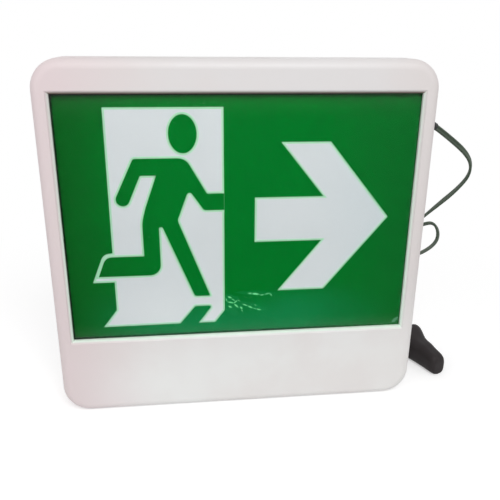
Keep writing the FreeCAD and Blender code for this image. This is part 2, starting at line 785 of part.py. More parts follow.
def battery_holder():
    """Moulded cradle: base, two end walls, a ledge under the cells and two screw lugs."""
    y1 = INNER_BACK_Y
    base_y = (y1 - HOLDER_T, y1)
    half = CELL_L / 2 + SEAT + HOLDER_T
    z = (BATTERY_Z - SEAT - HOLDER_T, battery_top() + SEAT)
    base = block((BATTERY_X - half, BATTERY_X + half), base_y, z)
    wall_y = (y1 - HOLDER_T - HOLDER_WALL_H, y1)
    walls = [block((BATTERY_X - half, BATTERY_X - half + HOLDER_T), wall_y, z),
             block((BATTERY_X + half - HOLDER_T, BATTERY_X + half), wall_y, z),
             block((BATTERY_X - half, BATTERY_X + half), wall_y, (z[0], z[0] + HOLDER_T))]
    lugs = []
    for x, hole_z in holder_holes():
        reach = sorted((BATTERY_X, x + math.copysign(SMALL_HEAD_R + LUG_MARGIN, x - BATTERY_X)))
        lugs.append(block(reach, base_y, (hole_z - LUG_HALF_W, hole_z + LUG_HALF_W)))
    hole_y = (base_y[0] - PAST, y1 + PAST)
    holes = [rod(SMALL_SCREW_R + SCREW_CLEARANCE, (x, hole_y[0], hole_z), (x, hole_y[1], hole_z))
             for x, hole_z in holder_holes()]
    body = base.fuse(walls + lugs).cut(holes)
    half_strap = STRAP_W / 2 + STRAP_CLEARANCE
    strap_slot = block((BATTERY_X - half_strap, BATTERY_X + half_strap),
                       (wall_y[0] - PAST, base_y[0]), (z[0] - PAST, BATTERY_Z))
    return body.cut(strap_slot).removeSplitter()


def battery_strap():
    """A sprung steel band over the cells, its feet against the holder's base."""
    x = (BATTERY_X - STRAP_W / 2, BATTERY_X + STRAP_W / 2)
    y_cells = cell_centres()[0][0] - CELL_D / 2
    low = BATTERY_Z
    high = battery_top()
    y_base = INNER_BACK_Y - HOLDER_T
    gap = SEAT / 2
    front_y = y_cells - gap - STRAP_T
    front = block(x, (front_y, y_cells - gap), (low - gap - STRAP_T, high + gap + STRAP_T))
    under = block(x, (front_y, y_base - SEAT), (low - gap - STRAP_T, low - gap))
    over = block(x, (front_y, y_base), (high + gap, high + gap + STRAP_T))
    return front.fuse([under, over]).removeSplitter()


def holder_screws():
    """Two screws that hold the battery holder to the back plate."""
    return screws(holder_holes(), INNER_BACK_Y - HOLDER_T, 1, SMALL_SCREW, HOLDER_T + HOLDER_SCREW_BITE)


# ---- driver board ------------------------------------------------------------------------------


def driver_board():
    """The charger and changeover board on its four stand-offs."""
    y = (BOARD_Y, BOARD_Y + BOARD_T)
    board = block((BOARD_X, BOARD_X + BOARD_L), y, (BOARD_Z, BOARD_Z + BOARD_H))
    board = board.makeFillet(BOARD_CORNER_R, edges_along_y(board))
    hole_r = SMALL_SCREW_R + SCREW_CLEARANCE
    return board.cut([rod(hole_r, (x, y[0] - PAST, z), (x, y[1] + PAST, z)) for x, z in board_holes()])


def board_screws():
    """Four screws that hold the board to its stand-offs."""
    return screws(board_holes(), BOARD_Y, 1, SMALL_SCREW, SMALL_SCREW_L)


def transformer():
    """Small laminated transformer: a core with two windows and a bobbin wound through them."""
    length, depth, height = CORE
    x0 = BOARD_X + CORE_LEFT
    z0 = BOARD_Z + (BOARD_H - height) / 2
    core = block((x0, x0 + length), (BOARD_Y - depth, BOARD_Y), (z0, z0 + height))
    leg = (length - 2 * CORE_WINDOW) / 3
    windows = []
    for k in (0, 1):
        wx = x0 + leg / 2 + k * (leg + CORE_WINDOW) + leg / 4
        windows.append(block((wx, wx + CORE_WINDOW), (BOARD_Y - depth - PAST, BOARD_Y + PAST),
                             (z0 + CORE_WINDOW, z0 + height - CORE_WINDOW)))
    cheek = block((x0 + leg / 2, x0 + length - leg / 2), (BOARD_Y - depth - BOBBIN_GROW, BOARD_Y),
                  (z0 + CORE_WINDOW, z0 + height - CORE_WINDOW))
    cheek = cheek.makeFillet(BOBBIN_CORNER_R, edges_along_y(cheek))
    return core.cut(windows).fuse(cheek).removeSplitter()


def capacitors():
    """Upright can capacitors with crimped necks."""
    x = BOARD_X + CAP_PLACE[0]
    cans = []
    for k in range(CAP_COUNT):
        z = BOARD_Z + CAP_PLACE[1] + k * CAP_PITCH
        can = rod(CAP_R, (x, BOARD_Y, z), (x, BOARD_Y - CAP_H, z))
        can = can.makeChamfer(CAP_EDGE, edges_at_y(can, BOARD_Y - CAP_H))
        neck = (x, BOARD_Y - CAP_GROOVE_UP, z)
        cans.append(can.cut(ring_groove(CAP_R, CAP_GROOVE_D, CAP_GROOVE_W, neck, (0, 1, 0))))
    return Part.makeCompound(cans)


def terminal_block():
    """Screw terminals for the mains lead, wire mouths to the right."""
    length, depth, height = TERMINAL
    x1 = BOARD_X + BOARD_L - TERMINAL_INSET
    z0 = BOARD_Z + BOARD_H - length - TERMINAL_INSET
    body = block((x1 - height, x1), (BOARD_Y - depth, BOARD_Y), (z0, z0 + length))
    mouth_depth, mouth_h, mouth_w = WIRE_MOUTH
    mouth_y = (BOARD_Y - WIRE_MOUTH_UP - mouth_h / 2, BOARD_Y - WIRE_MOUTH_UP + mouth_h / 2)
    clamp_x = x1 - height / 2
    cuts = []
    for k in range(TERMINAL_WAYS):
        z = z0 + length * (k + 0.5) / TERMINAL_WAYS
        cuts.append(block((x1 - mouth_depth, x1 + PAST), mouth_y, (z - mouth_w / 2, z + mouth_w / 2)))
        top_y = BOARD_Y - depth
        cuts.append(rod(CLAMP_HOLE_R, (clamp_x, top_y - PAST, z), (clamp_x, top_y + CLAMP_HOLE_D, z)))
    return body.cut(cuts)


def heat_sink():
    """Finned aluminium sink beside the capacitors."""
    x0 = BOARD_X + SINK_PLACE[0]
    z0 = BOARD_Z + SINK_PLACE[1]
    width = SINK_PITCH * (SINK_FINS - 1) + SINK_T
    base = block((x0, x0 + SINK_W), (BOARD_Y - SINK_T, BOARD_Y), (z0, z0 + width))
    fins = [block((x0, x0 + SINK_W), (BOARD_Y - SINK_H, BOARD_Y - SINK_T / 2),
                  (z0 + k * SINK_PITCH, z0 + k * SINK_PITCH + SINK_T)) for k in range(SINK_FINS)]
    return base.fuse(fins).removeSplitter()


# ---- test switch -------------------------------------------------------------------------------


def test_button():
    """Round push button: cap through the side wall, flange behind it, stem to the switch."""
    y = BUTTON_Y
    z = BUTTON_Z
    tip_x = HALF_W - BUTTON_SINK
    cap = rod(BUTTON_R, (FLANGE_X, y, z), (tip_x, y, z))
    cap = cap.makeChamfer(BUTTON_EDGE, edges_at_x(cap, tip_x))
    flange = rod(FLANGE_R, (FLANGE_X, y, z), (FLANGE_X + FLANGE_T, y, z))
    stem_end = SWITCH_X + BUTTON_TRAVEL + STEM_GAP
    stem = rod(STEM_R, (stem_end, y, z), (FLANGE_X, y, z))
    return cap.fuse([flange, stem]).removeSplitter()


def button_spring():
    """Light coil spring between the switch and the button's flange, in short straight runs."""
    length = SPRING_LENGTH - 2 * SPRING_SEAT - 2 * SPRING_WIRE_R
    start_x = SWITCH_X + SPRING_SEAT + SPRING_WIRE_R
    steps = round(SPRING_TURNS * SPRING_STEPS)
    points = []
    for k in range(steps + 1):
        angle = 2 * math.pi * k / SPRING_STEPS
        points.append(V(start_x + length * k / steps, BUTTON_Y + SPRING_R * math.cos(angle),
                        BUTTON_Z + SPRING_R * math.sin(angle)))
    ring = Part.Wire(Part.makeCircle(SPRING_WIRE_R, points[0], points[1] - points[0]))
    return Part.makePolygon(points).makePipeShell([ring], True, False, 1)


def test_switch():
    """Momentary switch body on its board, with a short plunger socket."""
    depth, width, height = SWITCH
    body = block((SWITCH_X - depth, SWITCH_X), (BUTTON_Y - width / 2, BUTTON_Y + width / 2),
                 (BUTTON_Z - height / 2, BUTTON_Z + height / 2))
    front = [e for e in body.Edges if abs(e.CenterOfMass.x - SWITCH_X) < TOUCH]
    return body.makeChamfer(SWITCH_EDGE, front)


def switch_board():
    """Small board for the switch and the charge lamp, held in the frame's rails."""
    return block((PCB_X, PCB_X + PCB_T), (BUTTON_Y - PCB_D / 2, BUTTON_Y + PCB_D / 2),
                 (BUTTON_Z - PCB_LOW, BUTTON_Z + PCB_HIGH))


def charge_lamp():
    """The charge lamp's chip, under the light pipe."""
    depth, width, height = LAMP
    x = (PCB_X + PCB_T, PCB_X + PCB_T + depth)
    y = (BUTTON_Y - width / 2, BUTTON_Y + width / 2)
    return block(x, y, (LAMP_Z - height / 2, LAMP_Z + height / 2))


def light_pipe():
    """Clear rod that carries the lamp's light through the side wall."""
    x0 = PCB_X + PCB_T + LAMP[0]
    tip_x = HALF_W - PIPE_SINK
    body = rod(PIPE_R, (x0, BUTTON_Y, LAMP_Z), (tip_x, BUTTON_Y, LAMP_Z))
    body = body.makeChamfer(PIPE_EDGE, edges_at_x(body, tip_x))
    collar_x = WALL_X - PIPE_COLLAR_T
    collar = rod(PIPE_COLLAR_R, (collar_x, BUTTON_Y, LAMP_Z), (WALL_X, BUTTON_Y, LAMP_Z))
    return body.fuse(collar).removeSplitter()


# ---- mains lead --------------------------------------------------------------------------------


def relief_axis():
    """Start and direction of the strain relief: from its place on the wall to the first route point."""
    base = V(SIDE_X, RELIEF_Y, RELIEF_Z)
    way = V(*CORD_ROUTE[0]) - base
    return base, way.normalize()


def strain_relief():
    """Rubber bush through the back plate's side wall, with a ringed tapered boot."""
    base, way = relief_axis()
    inner_x = (WALL_X - RELIEF_FLANGE_T, WALL_X)
    outer_x = (SIDE_X, SIDE_X + RELIEF_FLANGE_T)
    line = (RELIEF_Y, RELIEF_Z)
    neck = rod(RELIEF_NECK_R, (inner_x[0], *line), (outer_x[1], *line))
    flanges = [rod(RELIEF_FLANGE_R, (x[0], *line), (x[1], *line)) for x in (inner_x, outer_x)]
    boot = Part.makeCone(RELIEF_R, RELIEF_TIP_R, RELIEF_L, base, way)
    for k in range(RELIEF_RINGS):
        share = RELIEF_FIRST_RING + RELIEF_RING_STEP * k
        radius = RELIEF_R + (RELIEF_TIP_R - RELIEF_R) * share
        boot = boot.cut(ring_groove(radius, GROOVE_D, GROOVE_W, base + way * (RELIEF_L * share), way))
    inside = block((SIDE_X - RELIEF_L, SIDE_X), (RELIEF_Y - RELIEF_L, RELIEF_Y + RELIEF_L),
                   (RELIEF_Z - RELIEF_L, RELIEF_Z + RELIEF_L))
    return neck.fuse(flanges + [boot.cut(inside)])


def relief_tip():
    """Where the lead leaves the boot."""
    base, way = relief_axis()
    tip = base + way * RELIEF_L
    return (tip.x, tip.y, tip.z)


def coil_solid():
    """The stored length: a closed ring with the outer shape of the wound turns."""
    low = COIL_LIFT
    high = COIL_LIFT + COIL_H
    outline = [(COIL_INNER_R + COIL_EDGE, low), (COIL_OUTER_R - COIL_EDGE, low),
               (COIL_OUTER_R, low + COIL_EDGE), (COIL_OUTER_R, high - COIL_EDGE),
               (COIL_OUTER_R - COIL_EDGE, high), (COIL_INNER_R + COIL_EDGE, high),
               (COIL_INNER_R, high - COIL_EDGE), (COIL_INNER_R, low + COIL_EDGE)]
    corners = [V(COIL_X + r, COIL_Y, z) for r, z in outline + outline[:1]]
    return Part.Face(Part.makePolygon(corners)).revolve(V(COIL_X, COIL_Y, 0), V(0, 0, 1), 360)


def coil_tie():
    """A flat strap once round the coil's turns, on its right-hand side."""
    low = COIL_LIFT - TIE_FIT
    x = (COIL_X + COIL_INNER_R - TIE_FIT, COIL_X + COIL_OUTER_R + TIE_FIT)
    y = (COIL_Y - TIE_W / 2, COIL_Y + TIE_W / 2)
    inner_sag = COIL_INNER_R - math.sqrt(COIL_INNER_R ** 2 - (TIE_W / 2) ** 2)
    high = COIL_LIFT + COIL_H + TIE_FIT
    inside = block((x[0] - inner_sag, x[1]), y, (low, high))
    outside = block((x[0] - inner_sag - TIE_T, x[1] + TIE_T), y, (low - TIE_T, high + TIE_T))
    return outside.cut(inside)


def place_plug(shape):
    """From the plug's own frame (toe at the origin, blades along +X) to where it lies."""
    shape.rotate(V(0, 0, 0), V(0, 0, 1), PLUG_YAW)
    shape.translate(V(PLUG_TOE[0], PLUG_TOE[1], 0))
    return shape


def plug_point(along, left, up):
    """A point of the plug's own frame in the light's frame."""
    turn = math.radians(PLUG_YAW)
    x = PLUG_TOE[0] + along * math.cos(turn) - left * math.sin(turn)
    y = PLUG_TOE[1] + along * math.sin(turn) + left * math.cos(turn)
    return (x, y, up)


def plug_body():
    """Moulded angled plug: rounded finger grip, waist, wide blade end and side cord outlet."""
    wires = []
    for along, width, height in PLUG_SECTIONS:
        wires.append(rounded_wire(along, width, height, PLUG_ROUND * min(width, height), 0))
    grip = Part.makeLoft(wires, True, False)
    root = (PLUG_RELIEF_S, PLUG_RELIEF_ROOT, PLUG_RELIEF_Z)
    boot = taper(PLUG_RELIEF_R, RELIEF_TIP_R, root, (PLUG_RELIEF_S, PLUG_RELIEF_OUT, PLUG_RELIEF_Z))
    for k in range(RELIEF_RINGS):
        out = PLUG_RELIEF_OUT - PLUG_FIRST_RING - PLUG_RING_STEP * k
        share = (out - PLUG_RELIEF_ROOT) / (PLUG_RELIEF_OUT - PLUG_RELIEF_ROOT)
        radius = PLUG_RELIEF_R + (RELIEF_TIP_R - PLUG_RELIEF_R) * share
        centre = (PLUG_RELIEF_S, out, PLUG_RELIEF_Z)
        boot = boot.cut(ring_groove(radius, GROOVE_D, GROOVE_W, centre, (0, 1, 0)))
    return place_plug(grip.fuse(boot))


def plug_blades():
    """Two flat brass blades out of the plug's wide end."""
    length, _, height = PLUG_SECTIONS[-1]
    mid_z = height / 2
    tip_x = length + BLADE_L
    hole_x = tip_x - BLADE_HOLE_IN
    blades = []
    for side in (-1, 1):
        y = side * BLADE_SPACING / 2
        thick = (y - BLADE_T / 2, y + BLADE_T / 2)
        blade = block((length, tip_x), thick, (mid_z - BLADE_W / 2, mid_z + BLADE_W / 2))
        tips = [e for e in blade.Edges if abs(e.CenterOfMass.x - tip_x) < TOUCH
                and abs(e.CenterOfMass.z - mid_z) > BLADE_W / 4]
        hole = rod(BLADE_HOLE_R, (hole_x, thick[0] - PAST, mid_z), (hole_x, thick[1] + PAST, mid_z))
        blades.append(blade.makeChamfer(BLADE_EDGE, tips).cut(hole))
    return place_plug(Part.makeCompound(blades))


def main():
    os.makedirs("parts", exist_ok=True)
    save("front_frame", front_frame())
    save("back_plate", back_plate())
    save("housing_screws", housing_screws())
    save("face_lens", panel_sheet(LENS_Y, LENS_T))
    save("legend_film", panel_sheet(FILM_Y, FILM_T))
    save("diffuser_panel", panel_sheet(DIFFUSER_Y, DIFFUSER_T))
    save("reflector_tray", reflector_tray())
    save("tray_screws", tray_screws())
    for name, side in (("upper", 1), ("lower", -1)):
        z = WINDOW_MID_Z + side * STRIP_RISE
        save("led_strip_" + name, light_strip(z))
        save("led_chips_" + name, light_chips(z))
    save("led_connector", led_connector())
    save("battery_pack", battery_pack())
    save("battery_holder", battery_holder())
    save("battery_strap", battery_strap())
    save("holder_screws", holder_screws())
    save("driver_board", driver_board())
    save("board_screws", board_screws())
    save("transformer", transformer())
    save("capacitors", capacitors())
    save("terminal_block", terminal_block())
    save("heat_sink", heat_sink())
    save("test_button", test_button())
    save("button_spring", button_spring())
    save("test_switch", test_switch())
    save("switch_board", switch_board())
    save("charge_lamp", charge_lamp())
    save("light_pipe", light_pipe())
    save("strain_relief", strain_relief())
    lead = tube("power_cord", [relief_tip()] + CORD_ROUTE, CORD_D)
    plug_end = plug_point(PLUG_RELIEF_S, PLUG_RELIEF_OUT, PLUG_RELIEF_Z)
    lead += tube("plug_lead", [plug_end] + PLUG_LEAD_ROUTE, CORD_D)
    save("cord_coil", coil_solid())
    save("cord_tie", coil_tie())
    save("plug_body", plug_body())
    save("plug_blades", plug_blades())
    for name, points in (("led_lead", LED_LEAD), ("battery_lead", BATTERY_LEAD),
                         ("switch_lead", SWITCH_LEAD), ("mains_lead", MAINS_LEAD)):
        tube(name, points, LEAD_D)
    print(f"lead outside the coil {lead:.0f} mm")


main()
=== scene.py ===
# %% [markdown]
# # An emergency exit light
# A flat box of white plastic holds a lit green panel behind a clear cover, and a thin flat lead
# comes out of its side. The working pieces are already there at their true size. This lesson
# gives them their finish, lays the lead, prints the legend and sets up a small studio.
#
# The scene is in metres, and small sizes are written in mm and multiplied by MM. +X is to the
# right as seen from the front, +Z is up, and the box's face looks along -Y.

# %% Load the frame
from math import cos, pi, sin, sqrt, tan

import bpy
from mathutils import Matrix, Vector
from mathutils.geometry import delaunay_2d_cdt


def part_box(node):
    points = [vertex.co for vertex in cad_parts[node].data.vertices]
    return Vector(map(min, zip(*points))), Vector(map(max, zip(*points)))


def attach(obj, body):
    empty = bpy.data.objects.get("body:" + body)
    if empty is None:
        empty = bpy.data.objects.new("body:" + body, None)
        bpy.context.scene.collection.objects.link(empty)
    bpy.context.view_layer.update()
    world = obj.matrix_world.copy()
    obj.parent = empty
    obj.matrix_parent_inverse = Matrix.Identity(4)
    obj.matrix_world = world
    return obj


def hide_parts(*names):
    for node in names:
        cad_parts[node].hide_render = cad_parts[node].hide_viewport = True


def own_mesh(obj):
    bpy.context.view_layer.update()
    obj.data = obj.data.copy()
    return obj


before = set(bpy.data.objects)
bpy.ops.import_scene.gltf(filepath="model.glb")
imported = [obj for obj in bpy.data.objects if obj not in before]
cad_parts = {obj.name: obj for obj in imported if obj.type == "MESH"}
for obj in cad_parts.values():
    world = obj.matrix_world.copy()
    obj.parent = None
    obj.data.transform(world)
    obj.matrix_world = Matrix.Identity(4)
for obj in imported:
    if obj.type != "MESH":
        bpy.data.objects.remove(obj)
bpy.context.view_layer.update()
MM = 0.001


def new_object(name, data):
    """An object that shows the given data, put into the scene."""
    thing = bpy.data.objects.new(name, data)
    bpy.context.collection.objects.link(thing)
    return thing


print("solids loaded:", len(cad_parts))

# %% [markdown]
# ## The camera
# The light is seen from a little above and from the left of its middle, close enough for the
# upright sides to lean together. A camera can be aimed with three angles, but a view direction
# and an up direction are easier to read, and they hold the slight tilt of the hand as well.

# %% Place the camera
CAMERA_PLACE = Vector((-51.85, -508.41, 333.38)) * MM
CAMERA_AXIS = Vector((0.113, 0.933, -0.342)).normalized()
CAMERA_UP = Vector((0.032, 0.340, 0.940))
CAMERA_LENS = 42.84

camera = new_object("camera", bpy.data.cameras.new("camera"))
camera_right = CAMERA_AXIS.cross(CAMERA_UP).normalized()
camera_up = camera_right.cross(CAMERA_AXIS)
turn = Matrix((camera_right, camera_up, -CAMERA_AXIS)).transposed().to_4x4()
camera.matrix_world = Matrix.Translation(CAMERA_PLACE) @ turn
camera.data.lens = CAMERA_LENS
bpy.context.scene.camera = camera
print("camera at", [round(c, 3) for c in camera.location])

# %% [markdown]
# ## The lead's line
# The lead is a thin flat twin flex, 1.7 m long. It springs out of its strain relief in one wide
# bow, doubles back behind the box, bends out beside it once more, and drops to the floor. There
# the rest is wound into a coil with a tie round it. Its line could be drawn as short straight
# runs, but flex never bends like wire. A NURBS spline of order 3 rounds every point, so a few
# listed points are enough for the free stretch. A loop works out the coil's turns.

# %% Points of the free stretch, from the strain relief to the coil, in mm
RELIEF_TIP = (182.07, 18.64, 254.48)
FREE_STRETCH = [
    (195.6, 21.5, 246.0), (222.4, 25.0, 225.6), (227.9, 29.0, 208.4), (218.2, 32.0, 192.4),
    (199.0, 36.0, 173.0), (183.0, 38.0, 157.5), (169.8, 38.0, 146.6), (167.9, 38.0, 135.6),
    (174.6, 39.0, 125.0), (187.2, 40.0, 121.0), (200.6, 41.0, 127.6), (208.0, 42.0, 135.2),
    (208.7, 43.0, 144.6), (205.0, 45.0, 151.9), (199.0, 47.0, 153.6), (184.6, 51.0, 146.4),
    (167.0, 56.0, 134.0), (156.0, 62.0, 114.0), (151.0, 71.0, 90.0), (152.0, 82.0, 66.0),
    (156.0, 94.0, 44.0), (157.0, 103.0, 27.0), (153.5, 109.5, 13.0), (144.0, 113.0, 5.6),
    (131.0, 114.0, 3.8), (118.0, 112.0, 3.6),
]
PLUG_STRETCH = [(135.0, 34.2, 10.0), (151.4, 30.0, 12.0), (165.2, 34.6, 12.0)]
LEAD_WIDTH = 5.4
LEAD_THICK = 2.7
print("points of the free stretch:", len(FREE_STRETCH))

# %% The coil's turns: in along the floor, up one layer, and out again on top
COIL_MIDDLE = (118.0, 74.0)
COIL_OUTER = 38.0
COIL_INNER = 22.0
COIL_TURNS = 3.25
COIL_LAYERS = (3.6, 9.2)
POINTS_PER_TURN = 16
CLIMB_TURN = 0.4


def coil_layer(start_angle, from_radius, to_radius, low, high):
    """One flat spiral of turns. It climbs from low to high in its first part."""
    steps = round(COIL_TURNS * POINTS_PER_TURN)
    layer = []
    for step in range(1, steps + 1):
        angle = start_angle + step * 2 * pi / POINTS_PER_TURN
        radius = from_radius + (to_radius - from_radius) * step / steps
        climb = min(1, step / (CLIMB_TURN * POINTS_PER_TURN))
        across = COIL_MIDDLE[0] + radius * cos(angle)
        back = COIL_MIDDLE[1] + radius * sin(angle)
        height = low + (high - low) * climb * climb * (3 - 2 * climb)
        layer.append((across, back, height))
    return layer


floor_layer = coil_layer(pi / 2, COIL_OUTER, COIL_INNER, COIL_LAYERS[0], COIL_LAYERS[0])
top_layer = coil_layer(pi, COIL_INNER, COIL_OUTER, COIL_LAYERS[0], COIL_LAYERS[1])
lead_points = [RELIEF_TIP] + FREE_STRETCH + floor_layer + top_layer + PLUG_STRETCH
print("lead points:", len(lead_points))

# %% Draw the spline and read its line
SPLINE_ORDER = 3
SPLINE_STEPS = 8


def spline_line(points):
    """The smooth line of a NURBS spline with these control points, in metres."""
    curve = bpy.data.curves.new("lead_line", "CURVE")
    curve.dimensions = "3D"
    spline = curve.splines.new("NURBS")
    spline.points.add(len(points) - 1)
    for point, place in zip(spline.points, points):
        point.co = (*(Vector(place) * MM), 1)
    spline.order_u = SPLINE_ORDER
    spline.use_endpoint_u = True
    spline.resolution_u = SPLINE_STEPS
    holder = bpy.data.objects.new("lead_line", curve)
    mesh = bpy.data.meshes.new_from_object(holder)
    line = [v.co.copy() for v in mesh.vertices]
    bpy.data.meshes.remove(mesh)
    bpy.data.objects.remove(holder)
    bpy.data.curves.remove(curve)
    return line


lead_line = spline_line(lead_points)
reach = [0.0]
for here, there in zip(lead_line, lead_line[1:]):
    reach.append(reach[-1] + (there - here).length)

# %% [markdown]
# ## The lead's skin
# Twin flex has two round cores side by side, so its section is a figure of eight. A bevelled
# curve could carry that section, but then Blender chooses how it twists. Here the section is
# swept by hand, and a short list says which way its width points at each distance.

# %% Which way the section's width points, by distance along the lead in mm
BROAD_WAY = [
    (0, (0.44, 0.0, 0.90)), (30, (0.44, 0.0, 0.90)), (62, (0.45, 0.85, 0.35)), (82, (0.2, 0.96, 0.1)),
    (100, (-0.1, 0.97, 0.22)), (128, (0.35, 0.88, -0.25)), (150, (0.4, 0.87, -0.31)),
    (182, (0.85, 0.87, -0.76)), (238, (0.85, 0.87, -0.76)), (280, (0.4, 0.87, -0.31)),
    (330, (0.4, 0.87, -0.31)), (390, (0.4, 0.85, 0.2)), (430, (0.2, 0.6, 0.8)), (450, (0.0, 0.1, 1.0)),
]
SECTION_POINTS = 24
WAIST = 0.62


def broad_way(distance):
    """The width direction at a distance, blended between the listed ones."""
    for (start, before), (end, after) in zip(BROAD_WAY, BROAD_WAY[1:]):
        if distance <= end:
            share = (distance - start) / (end - start)
            return Vector(before).lerp(Vector(after), share)
    return Vector(BROAD_WAY[-1][1])


def twin_section():
    """Points round a figure of eight, as (across the width, across the thickness), in mm."""
    core = LEAD_THICK / 2
    ring = []
    for step in range(SECTION_POINTS):
        angle = 2 * pi * step / SECTION_POINTS
        across = LEAD_WIDTH / 2 * cos(angle)
        bulge = sqrt(max(0.0, core**2 - (abs(across) - (LEAD_WIDTH / 2 - core)) ** 2))
        inside = abs(across) < LEAD_WIDTH / 2 - core
        height = max(bulge, WAIST * core) if inside else bulge
        ring.append((across, height if sin(angle) >= 0 else -height))
    return ring


def sweep(name, line, section, ways):
    """A closed tube of the section along a line, with the width along the given directions."""
    rings = []
    for index, place in enumerate(line):
        before = line[max(0, index - 1)]
        after = line[min(len(line) - 1, index + 1)]
        along = (after - before).normalized()
        wide = (ways[index] - along * ways[index].dot(along)).normalized()
        thick = along.cross(wide)
        rings.append([place + wide * a * MM + thick * b * MM for a, b in section])
    count = len(section)
    vertices = [v for ring in rings for v in ring]
    faces = []
    for ring in range(len(rings) - 1):
        for side in range(count):
            corner = ring * count + side
            beside = ring * count + (side + 1) % count
            faces.append((corner, beside, beside + count, corner + count))
    faces.append(tuple(reversed(range(count))))
    faces.append(tuple(range(len(vertices) - count, len(vertices))))
    mesh = bpy.data.meshes.new(name)
    mesh.from_pydata(vertices, [], faces)
    mesh.polygons.foreach_set("use_smooth", [len(f) == 4 for f in faces])
    return new_object(name, mesh)


# %% [markdown]
# ## The plug
# The plug is moulded round the end of the lead in soft black plastic, so it has no crisp edge
# anywhere. Its solid has the right size but crisp edges. Bevels would need care at every
# corner, so a copy of it is made a little taller, skinned again in tiny even faces, and
# smoothed, which rounds all its edges at once.

# %% Make the plug
PLUG_FULLNESS = 1.15
PLUG_SKIN = 0.9
PLUG_SMOOTHINGS = 5
plug_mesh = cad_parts["plug_body"].data.copy()
for vertex in plug_mesh.vertices:
    vertex.co.z *= PLUG_FULLNESS
plug = new_object("moulded_plug", plug_mesh)
plug.modifiers.new("skin", "REMESH").voxel_size = PLUG_SKIN * MM
plug.modifiers.new("soften", "SMOOTH").iterations = PLUG_SMOOTHINGS
skinned = plug.evaluated_get(bpy.context.evaluated_depsgraph_get())
plug_mesh = bpy.data.meshes.new_from_object(skinned)
plug.modifiers.clear()
plug.data = plug_mesh
plug_mesh.polygons.foreach_set("use_smooth", [True] * len(plug_mesh.polygons))
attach(plug, "housing")
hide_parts("plug_body")
print("plug faces:", len(plug_mesh.polygons))

# %% Lay the lead
lead = sweep("mains_flex", lead_line, twin_section(), [broad_way(d / MM) for d in reach])
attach(lead, "housing")
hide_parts("power_cord", "cord_coil", "plug_lead")
print("lead faces:", len(lead.data.polygons))

# %% [markdown]
# ## The button's return spring
# Behind the test button sits a small coil spring, which gets shorter as the button goes in. It
# could be keyed by hand at both ends of the travel. Here the spring is swept as a helix inside
# the box of its solid, at the one length that the solid has.

# %% Wind the spring inside the box of its solid
SPRING_WIRE = 0.35
SPRING_TURNS = 3.5
TURN_STEPS = 24
WIRE_SIDES = 12
spring_low, spring_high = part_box("button_spring")
spring_middle = (spring_low + spring_high) / 2
coil_radius = (spring_high.z - spring_low.z) / 2 - SPRING_WIRE * MM
first_x = spring_low.x + SPRING_WIRE * MM
coil_reach = spring_high.x - SPRING_WIRE * MM - first_x
coil_steps = round(SPRING_TURNS * TURN_STEPS)
helix = []
spokes = []
for step in range(coil_steps + 1):
    angle = 2 * pi * step / TURN_STEPS
    spoke = Vector((0, cos(angle), sin(angle)))
    axis_point = Vector((first_x + coil_reach * step / coil_steps, spring_middle.y, spring_middle.z))
    helix.append(axis_point + spoke * coil_radius)
    spokes.append(spoke)
wire_angles = [2 * pi * side / WIRE_SIDES for side in range(WIRE_SIDES)]
wire_section = [(SPRING_WIRE * cos(a), SPRING_WIRE * sin(a)) for a in wire_angles]
spring = sweep("return_spring", helix, wire_section, spokes)
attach(spring, "housing")
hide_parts("button_spring")
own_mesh(spring)

# %% [markdown]
# ## Helpers for materials
# A material is a small graph of nodes. Wiring each one by hand takes many lines, so one short
# class adds a node, fills its sockets and joins them. Effects are built once, as node groups:
# the fine grain of a mould and soft uneven colour, which most finishes share, and dust.

# %% A short way to write node graphs
class Graph:
    """Adds nodes to a tree and joins them."""

    def __init__(self, tree):
        self.tree = tree

    def fill(self, sockets, inputs):
        """Fills sockets: an output is linked to its socket, anything else becomes its value."""
        for name, value in inputs.items():
            if isinstance(value, bpy.types.NodeSocket):
                self.tree.links.new(value, sockets[name])
            else:
                sockets[name].default_value = value

    def add(self, kind, inputs=None, **settings):
        """A new node, with its own settings first and then its sockets."""
        node = self.tree.nodes.new("ShaderNode" + kind)
        for name, value in settings.items():
            setattr(node, name, value)
        self.fill(node.inputs, inputs or {})
        return node

    def effect(self, group, inputs):
        """The outputs of a shared effect, placed here with its own inputs."""
        return self.add("Group", inputs, node_tree=group).outputs

    def mix(self, share, first, second):
        """A colour between two colours."""
        return self.add("Mix", {0: share, 6: first, 7: second}, data_type="RGBA").outputs[2]

    def math(self, operation, first, second=0.0):
        """One sum on values."""
        return self.add("Math", {0: first, 1: second}, operation=operation).outputs[0]

    def ramp(self, value, low, high, start=0.0, end=1.0):
        """A value carried smoothly from the range low..high to start..end."""
        limits = {"From Min": low, "From Max": high, "To Min": start, "To Max": end}
        node = self.add("MapRange", {"Value": value, **limits}, interpolation_type="SMOOTHSTEP")
        return node.outputs["Result"]

    def place(self):
        """The place on the piece, in metres."""
        return self.add("TexCoord").outputs["Object"]

    def noise(self, place, scale, detail):
        """Soft noise, from 0 to 1."""
        return self.add("TexNoise", {"Vector": place, "Scale": scale, "Detail": detail}).outputs["Fac"]


def new_group(name, inputs, outputs):
    """A node group with named sockets: its graph, what it is given, and where its results go."""
    tree = bpy.data.node_groups.new(name, "ShaderNodeTree")
    for label, kind, default in inputs:
        socket = tree.interface.new_socket(label, in_out="INPUT", socket_type="NodeSocket" + kind)
        socket.default_value = default
    for label, kind in outputs:
        tree.interface.new_socket(label, in_out="OUTPUT", socket_type="NodeSocket" + kind)
    given = tree.nodes.new("NodeGroupInput").outputs
    result = tree.nodes.new("NodeGroupOutput").inputs
    return Graph(tree), given, result


